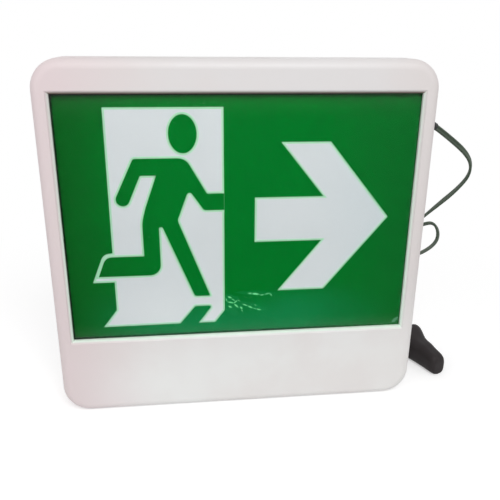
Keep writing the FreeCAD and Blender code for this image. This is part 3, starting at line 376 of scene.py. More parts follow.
def linear(colour):
    """A colour in sRGB numbers from 0 to 255, as the linear red, green, blue and alpha of shaders."""
    shares = [c / 255 for c in colour]
    values = [s / 12.92 if s <= 0.04045 else ((s + 0.055) / 1.055) ** 2.4 for s in shares]
    return (*values, 1.0)


# %% The shared effects
BROAD_GRAIN = 0.06
CLOUD_RANGE = (0.35, 0.7)
UPWARD_RANGE = (0.3, 0.95)
SPECK_RANGE = (0.35, 0.75)


def grain_group():
    """Fine grain of a moulded or painted face, as a height from 0 to 1."""
    graph, given, result = new_group(
        "fine_grain", [("Scale", "Float", 900.0), ("Coarse", "Float", 0.35)], [("Height", "Float")]
    )
    place = graph.place()
    fine = graph.noise(place, given["Scale"], 2.0)
    broad = graph.noise(place, graph.math("MULTIPLY", given["Scale"], BROAD_GRAIN), 1.0)
    both = graph.add("Mix", {0: given["Coarse"], 2: fine, 3: broad})
    graph.fill(result, {"Height": both.outputs[0]})
    return graph.tree


def mottle_group():
    """Soft uneven colour, as moulded plastic has after some years."""
    graph, given, result = new_group(
        "soft_mottle",
        [("Colour", "Color", (1, 1, 1, 1)), ("Shade", "Color", (0, 0, 0, 1)),
         ("Amount", "Float", 0.3), ("Scale", "Float", 9.0)],
        [("Colour", "Color"), ("Mask", "Float")],
    )
    mask = graph.ramp(graph.noise(graph.place(), given["Scale"], 4.0), *CLOUD_RANGE)
    share = graph.math("MULTIPLY", mask, given["Amount"])
    graph.fill(result, {"Colour": graph.mix(share, given["Colour"], given["Shade"]), "Mask": mask})
    return graph.tree


def dust_group():
    """Dust on faces that look up, as a mask."""
    graph, given, result = new_group(
        "resting_dust", [("Amount", "Float", 0.4), ("Scale", "Float", 60.0)], [("Mask", "Float")]
    )
    facing = graph.add("NewGeometry").outputs["Normal"]
    upward = graph.ramp(graph.add("SeparateXYZ", {0: facing}).outputs["Z"], *UPWARD_RANGE)
    patchy = graph.ramp(graph.noise(graph.place(), given["Scale"], 5.0), *SPECK_RANGE)
    settled = graph.math("MULTIPLY", upward, patchy)
    graph.fill(result, {"Mask": graph.math("MULTIPLY", settled, given["Amount"])})
    return graph.tree


FINE_GRAIN = grain_group()
SOFT_MOTTLE = mottle_group()
RESTING_DUST = dust_group()
print("shared effects:", [g.name for g in bpy.data.node_groups])

# %% Start a material
GRAIN_DEPTH = 0.2 * MM
GLOSSIER = 0.04
DULLER = 0.06


def new_material(name):
    """A material, the graph that feeds it, and its Principled shader."""
    material = bpy.data.materials.new(name)
    material.use_nodes = True
    shader = material.node_tree.nodes["Principled BSDF"]
    return material, Graph(material.node_tree), shader


def grain_normal(graph, scale, strength, coarse=0.35):
    """The bump of the fine grain."""
    height = graph.effect(FINE_GRAIN, {"Scale": scale, "Coarse": coarse})["Height"]
    bump = graph.add("Bump", {"Height": height, "Strength": strength, "Distance": GRAIN_DEPTH})
    return bump.outputs["Normal"]


def solid_finish(name, colour, shade, rough, metallic=0.0, grain=900.0, bump=0.1, mottle=0.3,
                 specular=0.5, scale=9.0):
    """Most pieces: a mottled colour, uneven gloss and fine grain."""
    material, graph, shader = new_material(name)
    tone = graph.effect(SOFT_MOTTLE, {
        "Colour": linear(colour), "Shade": linear(shade), "Amount": mottle, "Scale": scale})
    graph.fill(shader.inputs, {
        "Base Color": tone["Colour"],
        "Roughness": graph.ramp(tone["Mask"], 0, 1, rough - GLOSSIER, rough + DULLER),
        "Normal": grain_normal(graph, grain, bump),
        "Metallic": metallic,
        "Specular IOR Level": specular,
    })
    return material


def dress(node, material):
    """Gives a solid its finish, in every material slot that it has."""
    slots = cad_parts[node].data.materials
    if not slots:
        slots.append(material)
    for index in range(len(slots)):
        slots[index] = material


# %% [markdown]
# ## The white housing
# The front frame and the back plate are moulded from white plastic that has gone slightly warm
# with age. Its grain is so fine that it only softens the highlights. Its colour holds painted
# light as well: painted shade with a pink cast on the left and right, and painted light towards
# the foot. Round the window the bevel has a painted green reflection of the panel, and more of it
# lower down, while its upper edge has painted brown shade. So the colour there is tied to the
# place on the piece.

# %% A mask that grows in one direction across the light
LEFT = (-1, 0, 0)
RIGHT = (1, 0, 0)
DOWN = (0, 0, -1)
DRIFT_SCALE = 11.0
DRIFT_REACH = 0.06


def direction_group():
    """How far a point lies in a direction: 0 at the start distance, 1 at the end distance."""
    graph, given, result = new_group(
        "towards", [("Direction", "Vector", RIGHT), ("Start", "Float", 0.03), ("End", "Float", 0.15)],
        [("Mask", "Float")])
    place = graph.place()
    reached = graph.add("VectorMath", {0: place, 1: given["Direction"]}, operation="DOT_PRODUCT")
    cloud = graph.noise(place, DRIFT_SCALE, 2.0)
    drift = graph.math("MULTIPLY", graph.math("SUBTRACT", cloud, 0.5), DRIFT_REACH)
    moved = graph.math("ADD", reached.outputs["Value"], drift)
    graph.fill(result, {"Mask": graph.ramp(moved, given["Start"], given["End"])})
    return graph.tree


TOWARDS = direction_group()


def towards(graph, way, start, end):
    """The mask that grows in one direction, placed in a material. Distances are in metres."""
    return graph.effect(TOWARDS, {"Direction": way, "Start": start, "End": end})["Mask"]


print("mask:", TOWARDS.name)

# %% The painted glow and shade round the window, as two masks
# How far the cover and the film reach behind the frame
SHEET_LAP = 2 * MM
BEVEL_REACH = 2 * MM
BEVEL_START = 0.4 * MM
CORNER_SLACK = 1 * MM
BEHIND_COVER = 0.5 * MM
cover_low, cover_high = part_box("face_lens")
window_half = cover_high.x - SHEET_LAP
window_bottom = cover_low.z + SHEET_LAP
window_top = cover_high.z - SHEET_LAP


def window_group():
    """Masks of the window's bevel: one for the painted green glow on its sides and lower edge, one for
    painted shade on its upper edge.
    """
    graph, given, result = new_group(
        "window_bevel",
        [("Half width", "Float", window_half), ("Bottom", "Float", window_bottom),
         ("Top", "Float", window_top), ("Bevel", "Float", BEVEL_REACH)],
        [("Glow", "Float"), ("Shade", "Float")],
    )
    place = graph.add("SeparateXYZ", {0: graph.place()}).outputs
    aside = graph.math("SUBTRACT", graph.math("ABSOLUTE", place["X"]), given["Half width"])
    below = graph.math("SUBTRACT", given["Bottom"], place["Z"])
    above = graph.math("SUBTRACT", place["Z"], given["Top"])
    outside = graph.math("MAXIMUM", aside, graph.math("MAXIMUM", below, above))
    front = graph.math("LESS_THAN", place["Y"], cover_low.y + BEHIND_COVER)
    near = graph.math("MULTIPLY", graph.ramp(outside, given["Bevel"], BEVEL_START), front)
    upper = graph.math("GREATER_THAN", above, graph.math("MAXIMUM", aside, -CORNER_SLACK))
    lower = graph.math("SUBTRACT", 1.0, upper)
    graph.fill(result, {
        "Glow": graph.math("MULTIPLY", near, lower), "Shade": graph.math("MULTIPLY", near, upper)})
    return graph.tree


WINDOW_BEVEL = window_group()
print("window from", round(window_bottom, 4), "up to", round(window_top, 4))

# %% White plastic: painted pink shade on the left and right, painted light low down, and a painted green reflection and brown shade on the bevel
HOUSING_MIDDLE = (227, 224, 224)
# HOUSING_LEFT and HOUSING_RIGHT are painted shade with a pink cast, and HOUSING_LOW is painted light
HOUSING_LEFT = (229, 213, 215)
HOUSING_RIGHT = (224, 218, 217)
HOUSING_LOW = (248, 250, 248)
HOUSING_AGED = (226, 216, 214)
# BEVEL_GLOW is a painted green reflection of the panel, and BEVEL_SHADE is painted shade
BEVEL_GLOW = (230, 249, 235)
BEVEL_SHADE = (104, 88, 72)
DUST_COLOUR = (206, 202, 196)
# A direction, and the distances where a colour starts and where it is full
TO_RIGHT = (RIGHT, 0.1, 0.17)
TO_FOOT = (DOWN, -0.14, -0.03)
TO_LEFT = (LEFT, 0.06, 0.17)
DOWN_WINDOW = (DOWN, -0.29, -0.1)
LOW_SHARE = 0.6
AGED_SHARE = 0.35
GLOW_SHARES = (0.5, 0.85)
SHADE_SHARE = 0.9
DUST_SHARE = 0.06
HOUSING_ROUGH = (0.4, 0.52)
HOUSING_NODES = ("front_frame", "back_plate", "battery_holder")
housing_plastic, graph, shader = new_material("white_housing_plastic")
# Painted shade with a pink cast grows to the right and to the left, and painted light towards the foot
tone_and_painted_light = graph.mix(towards(graph, *TO_RIGHT), linear(HOUSING_MIDDLE), linear(HOUSING_RIGHT))
low_mask = graph.math("MULTIPLY", towards(graph, *TO_FOOT), LOW_SHARE)
tone_and_painted_light = graph.mix(low_mask, tone_and_painted_light, linear(HOUSING_LOW))
tone_and_painted_light = graph.mix(towards(graph, *TO_LEFT), tone_and_painted_light, linear(HOUSING_LEFT))
aged_and_painted_tone = graph.effect(SOFT_MOTTLE, {
    "Colour": tone_and_painted_light, "Shade": linear(HOUSING_AGED), "Amount": AGED_SHARE, "Scale": 14.0})
# A painted green reflection on the bevel's sides and lower edge, and painted brown shade on its upper
# edge
bevel = graph.effect(WINDOW_BEVEL, {})
lit_share = graph.ramp(towards(graph, *DOWN_WINDOW), 0, 1, *GLOW_SHARES)
glow_mask = graph.math("MULTIPLY", bevel["Glow"], lit_share)
glowing = graph.mix(glow_mask, aged_and_painted_tone["Colour"], linear(BEVEL_GLOW))
shade_mask = graph.math("MULTIPLY", bevel["Shade"], SHADE_SHARE)
shaded = graph.mix(shade_mask, glowing, linear(BEVEL_SHADE))
settled = graph.effect(RESTING_DUST, {"Amount": DUST_SHARE})["Mask"]
graph.fill(shader.inputs, {
    "Base Color": graph.mix(settled, shaded, linear(DUST_COLOUR)),
    "Roughness": graph.ramp(aged_and_painted_tone["Mask"], 0, 1, *HOUSING_ROUGH),
    "Normal": grain_normal(graph, 1400.0, 0.1, coarse=0.25),
    "Specular IOR Level": 0.4,
})
for node in HOUSING_NODES:
    dress(node, housing_plastic)
print("dressed in housing plastic:", HOUSING_NODES)

# %% Dress the other solids: name, colour, mottle, roughness, other settings, solids
FINISHES = [
    ("relief_rubber", (40, 42, 41), (28, 30, 29), 0.5, {"bump": 0.3}, ["strain_relief"]),
    ("plug_plastic", (42, 37, 38), (32, 28, 29), 0.55, {"grain": 700.0, "bump": 0.35, "specular": 0.25},
     ["plug_body"]),
    ("flex_skin", (66, 80, 64), (50, 66, 54), 0.42, {"grain": 1200.0, "bump": 0.15, "scale": 30.0}, []),
    ("zinc_plate", (190, 190, 186), (150, 150, 148), 0.32, {"metallic": 1.0, "grain": 2500.0},
     ["housing_screws", "tray_screws", "holder_screws", "board_screws"]),
    ("nickel_brass", (200, 192, 172), (170, 160, 140), 0.25, {"metallic": 1.0, "grain": 2500.0},
     ["plug_blades"]),
    ("spring_steel", (180, 182, 186), (120, 122, 126), 0.28, {"metallic": 1.0}, ["button_spring"]),
    ("tray_paint", (240, 240, 238), (228, 228, 224), 0.5, {"mottle": 0.2},
     ["reflector_tray", "diffuser_panel"]),
    ("board_resist", (26, 84, 50), (18, 66, 38), 0.35, {"mottle": 0.4, "scale": 120.0},
     ["driver_board", "switch_board"]),
    ("led_board_resist", (232, 232, 226), (214, 214, 206), 0.38, {"scale": 120.0},
     ["led_strip_upper", "led_strip_lower", "led_connector"]),
    ("led_phosphor", (226, 206, 96), (236, 224, 150), 0.35, {"scale": 400.0},
     ["led_chips_upper", "led_chips_lower"]),
    ("black_moulding", (36, 36, 38), (26, 26, 28), 0.45, {}, ["test_switch", "cord_tie"]),
    ("grey_moulding", (120, 122, 124), (104, 106, 108), 0.48, {}, ["charge_lamp"]),
    ("battery_sleeve", (70, 132, 168), (52, 112, 150), 0.33, {"scale": 60.0}, ["battery_pack"]),
    ("strap_nylon", (222, 220, 210), (206, 204, 192), 0.4, {}, ["battery_strap"]),
    ("laminated_core", (96, 96, 98), (62, 60, 60), 0.45, {"metallic": 0.7, "scale": 200.0},
     ["transformer"]),
    ("anodised_fins", (168, 170, 172), (150, 152, 154), 0.36, {"metallic": 1.0}, ["heat_sink"]),
    ("capacitor_sleeve", (28, 30, 46), (20, 22, 34), 0.35, {}, ["capacitors"]),
    ("terminal_moulding", (46, 126, 76), (36, 108, 62), 0.42, {}, ["terminal_block"]),
    ("button_moulding", (196, 44, 38), (176, 34, 30), 0.38, {}, ["test_button"]),
    ("inner_lead_skin", (158, 40, 34), (132, 30, 26), 0.45, {},
     ["led_lead", "battery_lead", "switch_lead", "mains_lead"]),
]
finishes = {}
for name, colour, shade, rough, settings, nodes in FINISHES:
    finishes[name] = solid_finish(name, colour, shade, rough, **settings)
    for node in nodes:
        dress(node, finishes[name])
lead.data.materials.append(finishes["flex_skin"])
spring.data.materials.append(finishes["spring_steel"])
plug.data.materials.clear()
plug.data.materials.append(finishes["plug_plastic"])
print("finishes:", len(finishes))

# %% [markdown]
# ## The printed legend
# The legend is a film behind the clear cover: a running figure in a doorway, and an arrow, as
# on many exit signs. It could be painted as a picture, but a picture goes soft close up. Each
# field is cut as its own thin layer instead, so every edge stays sharp at any distance. Light
# creeps sideways in the film, so every white field has a narrow painted glow of pale green at
# its edge. Close to the frame less light comes through, so the sheet has a narrow border of
# painted shade.

# %% Outlines: points as (across, up), or (across, up, corner radius), on a sign 300 wide
DOORWAY = [
    (-111, 95.8), (-15, 95.8), (-15, -84.5), (-23.8, -96), (-38.4, -96), (-27.4, -81, 1),
    (-28.2, -79.3, 1), (-41.5, -79.3, 1), (-55.4, -96), (-123, -96.3), (-110.8, -80),
    (-110.9, -53.4), (-129.3, -53.4), (-119, -27.5, 8), (-110.9, -26.4),
]
ARROW = [
    (11.5, 20), (71, 20), (33, 67), (75, 67), (130, 0), (75, -67), (33, -67), (71, -20), (11.5, -20),
]
RUNNER = [
    (-89.4, 54.7, 3), (-107.1, 18.0, 5.7), (-96.5, 13.0, 5.7), (-84.3, 40.5, 0.5), (-71.2, 40.5, 0.5),
    (-81.5, 12, 30), (-84.6, 0, 30), (-84.3, -30, 0.5), (-117, -30, 8), (-124, -48), (-70.4, -48, 9.5),
    (-70.6, -4.4, 1.1), (-67.6, -4.4, 0.8), (-41.6, -69.5, 3), (-27.8, -69.5, 0.4), (-54.6, 1.4, 5),
    (-44.6, 28, 2.4), (-32.2, 9.8, 4), (-15, 9.8), (-15, 24.4), (-29.3, 24.4, 2), (-46.6, 54.7, 11),
]
HEAD_MIDDLE = (-48.5, 74.5)
HEAD_SIZE = (23.2, 31.6)
SIGN_WIDTH = 300.0
ROUND_STEPS = 8
HEAD_STEPS = 56
MITRE_LIMIT = 0.4


def rounded(points):
    """An outline with its round corners worked out as arcs."""
    outline = []
    for index, point in enumerate(points):
        corner = Vector(point[:2])
        if len(point) == 2:
            outline.append(corner)
            continue
        before = (Vector(points[index - 1][:2]) - corner).normalized()
        after = (Vector(points[(index + 1) % len(points)][:2]) - corner).normalized()
        half = before.angle(after) / 2
        middle = corner + (before + after).normalized() * point[2] / sin(half)
        start = (corner + before * point[2] / tan(half) - middle).normalized()
        end = (corner + after * point[2] / tan(half) - middle).normalized()
        for step in range(ROUND_STEPS + 1):
            outline.append(middle + start.slerp(end, step / ROUND_STEPS) * point[2])
    return outline


def ellipse(middle, size):
    """A closed ellipse as an outline."""
    angles = [2 * pi * step / HEAD_STEPS for step in range(HEAD_STEPS)]
    return [Vector((middle[0] + size[0] / 2 * cos(a), middle[1] + size[1] / 2 * sin(a))) for a in angles]


def anticlockwise(outline):
    """Whether the points of a closed outline run anticlockwise."""
    pairs = zip(outline, outline[1:] + outline[:1])
    return sum(a.x * b.y - b.x * a.y for a, b in pairs) > 0


def grown(outline, distance):
    """The same outline moved outward by a distance, or inward if it is negative."""
    side = 1 if anticlockwise(outline) else -1
    moved = []
    for index, point in enumerate(outline):
        came = (point - outline[index - 1]).normalized()
        goes = (outline[(index + 1) % len(outline)] - point).normalized()
        outward = [Vector((way.y, -way.x)) * side for way in (came, goes)]
        mitre = (outward[0] + outward[1]) / max(MITRE_LIMIT, 1 + outward[0].dot(outward[1]))
        moved.append(point + mitre * distance)
    return moved


print("runner outline points:", len(rounded(RUNNER)))

# %% Depths of the layers, from the film's own place
film_low, film_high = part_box("legend_film")
GREEN_FACE = film_high.y - 0.15 * MM
WHITE_FACE = GREEN_FACE - 0.07 * MM
RUNNER_FACE = WHITE_FACE - 0.05 * MM
GREEN, WHITE, MINT, CREASE, WORN, BRIGHT, SHADE_BORDER = range(7)
INSIDE_ONLY = 1
SAME_POINT = 1e-7
sign_middle = (film_low + film_high) / 2
sign_scale = (film_high.x - film_low.x - 2 * SHEET_LAP) / SIGN_WIDTH


class LayerStack:
    """Thin closed layers in one mesh, each with its own inks."""

    def __init__(self):
        self.vertices = []
        self.faces = []
        self.inks = []

    def ring(self, outline, depth):
        """Adds the points of an outline at a depth and returns the number of the first."""
        first = len(self.vertices)
        for point in outline:
            across = sign_middle.x + point.x * sign_scale
            up = sign_middle.z + point.y * sign_scale
            self.vertices.append((across, depth, up))
        return first

    def face(self, corners, ink):
        """Adds one face and its ink."""
        self.faces.append(corners)
        self.inks.append(ink)

    def strip(self, first, second, count, ink):
        """Joins two rings of the same count."""
        for index in range(count):
            beside = (index + 1) % count
            self.face((first + index, first + beside, second + beside, second + index), ink)

    def fill(self, outline, first, ink, backward=False):
        """Fills a ring with triangles. Forward ones look to the front."""
        border = [list(range(len(outline)))]
        cut = delaunay_2d_cdt(outline, [], border, INSIDE_ONLY, SAME_POINT)
        points, _, triangles, sources = cut[:4]
        depth = self.vertices[first][1]
        numbers = [first + s[0] if s else self.ring([p], depth) for p, s in zip(points, sources)]
        for a, b, c in triangles:
            clockwise = (points[b] - points[a]).cross(points[c] - points[a]) < 0
            corners = (a, c, b) if clockwise != backward else (a, b, c)
            self.face(tuple(numbers[i] for i in corners), ink)

    def layer(self, outer, core, front, back, edge_ink, core_ink):
        """A closed layer: an edge of one ink between two outlines, and a core of another."""
        if not anticlockwise(outer):
            outer, core = outer[::-1], core[::-1]
        count = len(outer)
        outer_front = self.ring(outer, front)
        core_front = self.ring(core, front)
        outer_back = self.ring(outer, back)
        self.strip(outer_front, core_front, count, edge_ink)
        self.fill(core, core_front, core_ink)
        self.strip(outer_back, outer_front, count, edge_ink)
        self.fill(outer, outer_back, edge_ink, backward=True)


print("sign scale:", round(sign_scale, 6))

# %% Cut the layers and stack them
EDGE_GLOW = 1.6
SHADE_BORDER_WIDTH = 3.5
ARM_END_X = -14.9
CORNER_SIGNS = ((-1, -1), (1, -1), (1, 1), (-1, 1))
film_size = (film_high - film_low) / sign_scale
sheet = [Vector((x * film_size.x / 2, y * film_size.z / 2)) for x, y in CORNER_SIGNS]
stack = LayerStack()
# The sheet's edge is a border of painted shade, where the frame shades the film
stack.layer(sheet, grown(sheet, -SHADE_BORDER_WIDTH), GREEN_FACE, film_high.y, SHADE_BORDER, GREEN)
# The white fields and the runner get a narrow painted glow of pale green along their edges
for points in (DOORWAY, ARROW):
    outline = rounded(points)
    stack.layer(outline, grown(outline, -EDGE_GLOW), WHITE_FACE, GREEN_FACE, MINT, WHITE)
for outline in (rounded(RUNNER), ellipse(HEAD_MIDDLE, HEAD_SIZE)):
    edge = [Vector((min(p.x, ARM_END_X), p.y)) for p in grown(outline, EDGE_GLOW)]
    stack.layer(edge, outline, RUNNER_FACE, WHITE_FACE, MINT, GREEN)
print("faces without creases:", len(stack.faces))

# %% [markdown]
# ## Creases in the film
# Near the middle of the lower edge the film has cracked. The cracks catch the light as short
# pale streaks, and the green round them has worn a little lighter. Bump would not show through
# the cover, so each streak is a sliver of pale ink with pointed ends, and the worn places are
# wider slivers below them. One more worn place lies in the lower right corner. Some twenty
# streaks are enough, and their places are listed.

# %% Streaks: start, end and width, on the sign's own scale
STREAKS = [
    ((5.3, -68.7), (12.5, -69.6), 2.0), ((8.5, -69.0), (17.6, -70.6), 2.6),
    ((16.6, -71.2), (21.4, -70.9), 1.3), ((20.8, -70.7), (26.9, -69.3), 1.1),
    ((25.2, -69.1), (28.5, -72.8), 1.1), ((-12.6, -71.2), (-8.2, -73.0), 2.2),
    ((-9.4, -73.0), (-5.0, -76.4), 1.0), ((-14.5, -72.2), (-12.4, -76.8), 1.1),
    ((-13.4, -76.3), (-5.4, -78.2), 1.7), ((-7.4, -78.5), (-2.9, -75.0), 1.6),
    ((-3.3, -75.0), (-0.8, -76.7), 0.8), ((-7.1, -78.0), (-1.9, -83.4), 2.1),
    ((-12.2, -80.3), (-7.9, -82.8), 2.1), ((-1.4, -81.5), (1.6, -84.5), 2.2),
    ((0.2, -84.0), (1.2, -87.4), 0.9), ((0.4, -79.0), (6.6, -81.6), 1.6),
    ((5.4, -81.0), (11.4, -84.2), 2.0), ((10.6, -83.5), (14.3, -84.9), 0.8),
    ((13.2, -84.6), (19.2, -86.3), 1.5), ((11.7, -80.3), (14.4, -81.4), 0.8),
]
WORN_PATCHES = [
    ((-14.6, -69.5), (1.5, -84.5), 12.0), ((-2.0, -76.8), (24.0, -87.0), 6.0),
    ((-6.0, -67.6), (34.0, -70.4), 4.6), ((-14.4, -78.0), (-3.0, -91.0), 8.0),
    ((143.4, -105.0), (149.6, -99.4), 3.6),
]
STREAK_SHAPE = [
    (0, 0), (0.12, 0.3), (0.3, 0.34), (0.45, 0.55), (0.62, 0.4), (0.82, 0.32), (1, 0),
    (0.86, -0.22), (0.68, -0.45), (0.5, -0.36), (0.34, -0.52), (0.14, -0.24),
]
CORE_SHARE = 0.65
WORN_FACE = GREEN_FACE - 0.02 * MM
PATCH_STEP = 0.006 * MM
STREAK_STEP = 0.0015 * MM


def streak(start, end, width, depth, edge_ink, core_ink):
    """A sliver with pointed ends, paler along its middle."""
    along = Vector(end) - Vector(start)
    aside = Vector((-along.y, along.x)).normalized() * width
    outline = [Vector(start) + along * a + aside * b for a, b in STREAK_SHAPE]
    middle = sum(outline, Vector((0, 0))) / len(outline)
    core = [middle.lerp(point, CORE_SHARE) for point in outline]
    stack.layer(outline, core, depth, GREEN_FACE, edge_ink, core_ink)


for number, (start, end, width) in enumerate(WORN_PATCHES):
    streak(start, end, width, WORN_FACE - number * PATCH_STEP, WORN, WORN)
for number, (start, end, width) in enumerate(STREAKS):
    streak(start, end, width, RUNNER_FACE - number * STREAK_STEP, CREASE, BRIGHT)
print("streaks:", len(STREAKS), "worn patches:", len(WORN_PATCHES))

# %% Make the legend
legend_mesh = bpy.data.meshes.new("printed_legend")
legend_mesh.from_pydata(stack.vertices, [], stack.faces)
legend_mesh.polygons.foreach_set("material_index", stack.inks)
legend = new_object("printed_legend", legend_mesh)
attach(legend, "housing")
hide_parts("legend_film")
print("legend faces:", len(legend_mesh.polygons))

# %% [markdown]
# ## The film's inks
# The inks are part of the film and lie flat against the cover, so they have hardly any gloss of
# their own. The green is painted deepest near the sides, as painted shade where less light comes
# through from behind, and paler low down, as a painted reflection. Masks that grow to the left,
# to the right and downward change it there.

# %% Make an ink
# A direction, and the distances where a colour starts and where it is full
# Painted shade grows to the left and to the right, and painted light grows downward
INK_LOW = (DOWN, -0.125, -0.085)
INK_LEFT = (LEFT, 0.06, 0.16)
INK_RIGHT = (RIGHT, 0.05, 0.15)
INK_LOW_SHARE = 0.75
INK_GRAIN = 500.0
INK_SPECKS = (0.3, 0.7, 0.97, 1.0)
INK_ROUGH = (0.5, 0.62)
INK_SPECULAR = 0.05


def ink_finish(name, middle, left, right, low):
    """A printed ink, with one colour in the middle of the sign and others towards its edges, which hold
    painted shade and painted light.
    """
    material, graph, shader = new_material(name)
    # The low, left and right colours are painted light and painted shade
    low_mask = graph.math("MULTIPLY", towards(graph, *INK_LOW), INK_LOW_SHARE)
    tone = graph.mix(low_mask, linear(middle), linear(low))
    tone = graph.mix(towards(graph, *INK_LEFT), tone, linear(left))
    tone = graph.mix(towards(graph, *INK_RIGHT), tone, linear(right))
    grain = graph.effect(FINE_GRAIN, {"Scale": INK_GRAIN})["Height"]
    speckled = graph.add("HueSaturation", {"Color": tone, "Value": graph.ramp(grain, *INK_SPECKS)})
    graph.fill(shader.inputs, {
        "Base Color": speckled.outputs["Color"],
        "Roughness": graph.ramp(grain, 0, 1, *INK_ROUGH),
        "Specular IOR Level": INK_SPECULAR,
    })
    return material


# %% The seven inks, in the order of their numbers: name, then middle, left, right and low colour
CREASE_GREEN = (56, 168, 98)
BRIGHT_GREEN = (120, 232, 158)
# The left, right and low colours of the green, white, mint and border inks are painted shade and painted
# light
INKS = [
    ("green_ink", (0, 124, 42), (13, 101, 34), (12, 112, 42), (24, 138, 82)),
    ("white_ink", (227, 231, 235), (224, 227, 232), (218, 226, 231), (234, 238, 241)),
    ("mint_edge_ink", (178, 232, 196), (172, 226, 192), (172, 228, 194), (176, 228, 200)),
    ("crease_ink", CREASE_GREEN, CREASE_GREEN, CREASE_GREEN, CREASE_GREEN),
    ("worn_green_ink", (12, 133, 60), (12, 133, 60), (84, 152, 110), (30, 142, 84)),
    ("bright_crease_ink", BRIGHT_GREEN, BRIGHT_GREEN, BRIGHT_GREEN, BRIGHT_GREEN),
    ("painted_shade_border", (12, 62, 34), (16, 52, 26), (12, 112, 46), (14, 94, 54)),
]
for ink in INKS:
    legend.data.materials.append(ink_finish(*ink))
print("inks:", [m.name for m in legend.data.materials])

# %% [markdown]
# ## The clear cover
# The cover is a flat sheet of clear acrylic. As true glass it would keep lamp light from the
# film behind it, because shadow rays stop at refraction. So for shadow rays alone the material
# turns transparent, and the sheet still bends and mirrors everything that the eye sees. The
# same plastic makes the light pipe beside the button.

# %% Clear acrylic, a little duller where it is smudged
CLEAR_TINT = (253, 254, 253)
CLEAR_IOR = 1.36
CLEAN_ROUGH = 0.03
SMUDGED_ROUGH = 0.066
CLEAR_NODES = ("face_lens", "light_pipe")
clear_acrylic, graph, shader = new_material("clear_acrylic")
smudge = graph.effect(SOFT_MOTTLE, {"Scale": 14.0})["Mask"]
graph.fill(shader.inputs, {
    "Base Color": linear(CLEAR_TINT),
    "Transmission Weight": 1.0,
    "IOR": CLEAR_IOR,
    "Specular IOR Level": 0.5,
    "Roughness": graph.ramp(smudge, 0, 1, CLEAN_ROUGH, SMUDGED_ROUGH),
})
passing = graph.add("BsdfTransparent", {"Color": linear(CLEAR_TINT)})
shadow_ray = graph.add("LightPath").outputs["Is Shadow Ray"]
chosen = graph.add("MixShader", {0: shadow_ray, 1: shader.outputs[0], 2: passing.outputs[0]})
graph.fill(graph.tree.nodes["Material Output"].inputs, {"Surface": chosen.outputs[0]})
for node in CLEAR_NODES:
    dress(node, clear_acrylic)
print("dressed in clear acrylic:", CLEAR_NODES)

# %% [markdown]
# ## The studio
# A pale floor, a white surround, one large soft lamp above and in front, and a fainter one
# from the left. The surround is white to the eye, in gloss and through clear plastic, and
# about half as bright where it lights matt faces, so that the lamps still give shape.
# Far from the object the floor turns into the same white, so that no edge shows, and near the
# object it stays a plain matt floor that keeps the shadow.

# %% What the floor and the surround share
def flat_sheet(name, corners, height):
    """A flat sheet with four corners."""
    mesh = bpy.data.meshes.new(name)
    mesh.from_pydata([(x, y, height) for x, y in corners], [], [(0, 1, 2, 3)])
    return new_object(name, mesh)


def seen_by_eye(graph):
    """1 where a ray comes from the eye: straight, from gloss, or through clear plastic."""
    paths = graph.add("LightPath").outputs
    seen = graph.math("ADD", paths["Is Camera Ray"], paths["Is Glossy Ray"])
    return graph.math("MINIMUM", graph.math("ADD", seen, paths["Is Transmission Ray"]), 1.0)


# %% The floor
FLOOR_HALF = 4.0
FLOOR_PAINT = (0.82, 0.82, 0.82, 1)
PLAIN_WITHIN = 0.2
WHITE_BEYOND = 0.6
FLOOR_FILL = 0.42
floor = flat_sheet("floor", [(x * FLOOR_HALF, y * FLOOR_HALF) for x, y in CORNER_SIGNS], 0)
floor_paint, graph, shader = new_material("pale_floor")
graph.fill(shader.inputs, {"Base Color": FLOOR_PAINT, "Roughness": 0.8, "Specular IOR Level": 0.05})
seen = seen_by_eye(graph)
distance = graph.add("VectorMath", {0: graph.place()}, operation="LENGTH").outputs["Value"]
far = graph.math("MULTIPLY", graph.ramp(distance, PLAIN_WITHIN, WHITE_BEYOND), seen)
fill_light = graph.add("Emission", {"Strength": graph.math("MULTIPLY", seen, FLOOR_FILL)})
near_floor = graph.add("AddShader", {0: shader.outputs[0], 1: fill_light.outputs[0]})
white = graph.add("Emission", {"Strength": 1.0})
blended = graph.add("MixShader", {0: far, 1: near_floor.outputs[0], 2: white.outputs[0]})
graph.fill(graph.tree.nodes["Material Output"].inputs, {"Surface": blended.outputs[0]})
floor.data.materials.append(floor_paint)
print("floor:", floor.dimensions[:2])

# %% The surround
SURROUND_FILL = 0.5
world = bpy.data.worlds.new("surround")
bpy.context.scene.world = world
world.use_nodes = True
graph = Graph(world.node_tree)
first_hit = graph.math("LESS_THAN", graph.add("LightPath").outputs["Diffuse Depth"], 0.5)
full_white = graph.math("MULTIPLY", seen_by_eye(graph), first_hit)
graph.fill(world.node_tree.nodes["Background"].inputs, {
    "Color": (1, 1, 1, 1), "Strength": graph.ramp(full_white, 0, 1, SURROUND_FILL, 1.0)})
print("surround:", world.name)

# %% [markdown]
# ## A dark card for the gloss
# A glossy cover mirrors the white studio and washes out the green behind it. Photographers lay
# a dark card in front of such a piece, just out of sight, so that the gloss has something dark
# to mirror. The card here is seen only in gloss and through clear plastic. It fades at its near
# and far ends, so that the lower and upper edges of the cover still pick up some light.

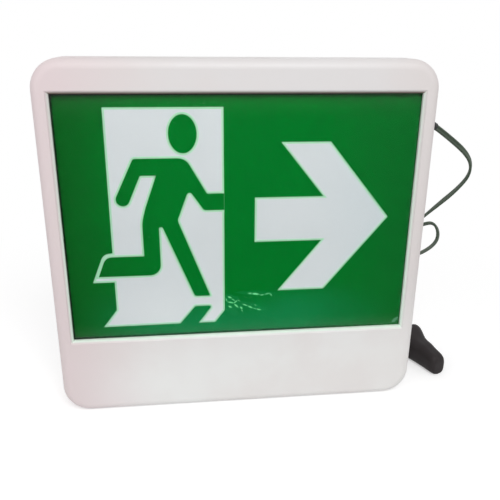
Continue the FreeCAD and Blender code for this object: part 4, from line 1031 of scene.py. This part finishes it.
# %% The card
CARD_NEAR = -0.1
CARD_FAR = -4.2
CARD_LIFT = 0.004
CARD_SIDES_NEAR = (-0.4, 0.4)
CARD_SIDES_FAR = (-1.6, 2.6)
CARD_PAINT = (0.004, 0.005, 0.004, 1)
NEAR_FADE = 0.09
FAR_FADE = 2.4
FAR_COVER = 0.3
card_corners = [(CARD_SIDES_FAR[0], CARD_FAR), (CARD_SIDES_FAR[1], CARD_FAR),
                (CARD_SIDES_NEAR[1], CARD_NEAR), (CARD_SIDES_NEAR[0], CARD_NEAR)]
card = flat_sheet("dark_card", card_corners, CARD_LIFT)
card.visible_camera = False
card.visible_diffuse = False
card.visible_shadow = False
card_paint, graph, shader = new_material("dark_card_paint")
graph.fill(shader.inputs, {"Base Color": CARD_PAINT, "Roughness": 0.9, "Specular IOR Level": 0.0})
distance = graph.add("SeparateXYZ", {0: graph.place()}).outputs["Y"]
near_end = graph.ramp(distance, CARD_NEAR, CARD_NEAR - NEAR_FADE)
far_end = graph.ramp(distance, CARD_FAR, CARD_FAR + FAR_FADE, FAR_COVER, 1.0)
cover = graph.math("MULTIPLY", near_end, far_end)
clear = graph.add("BsdfTransparent")
shown = graph.add("MixShader", {0: cover, 1: clear.outputs[0], 2: shader.outputs[0]})
graph.fill(graph.tree.nodes["Material Output"].inputs, {"Surface": shown.outputs[0]})
card.data.materials.append(card_paint)
print("card from y", CARD_NEAR, "to", CARD_FAR)

# %% The lamps
LAMP_SIZE = 0.8
BODY_MIDDLE = Vector((0.0, 0.0, 0.16))


def soft_lamp(name, place, watts):
    """A square area lamp at a place, aimed at the middle of the light."""
    lamp = bpy.data.lights.new(name, "AREA")
    lamp.size = LAMP_SIZE
    lamp.energy = watts
    holder = new_object(name, lamp)
    holder.location = place
    holder.rotation_euler = (BODY_MIDDLE - Vector(place)).to_track_quat("-Z", "Y").to_euler()


soft_lamp("key_lamp", (0.1, -1.15, 1.25), watts=11.0)
soft_lamp("side_lamp", (-1.2, -0.9, 0.6), watts=1.6)
print("lamps:", len(bpy.data.lights))

# %% Finish
bpy.context.scene.view_settings.view_transform = "Standard"
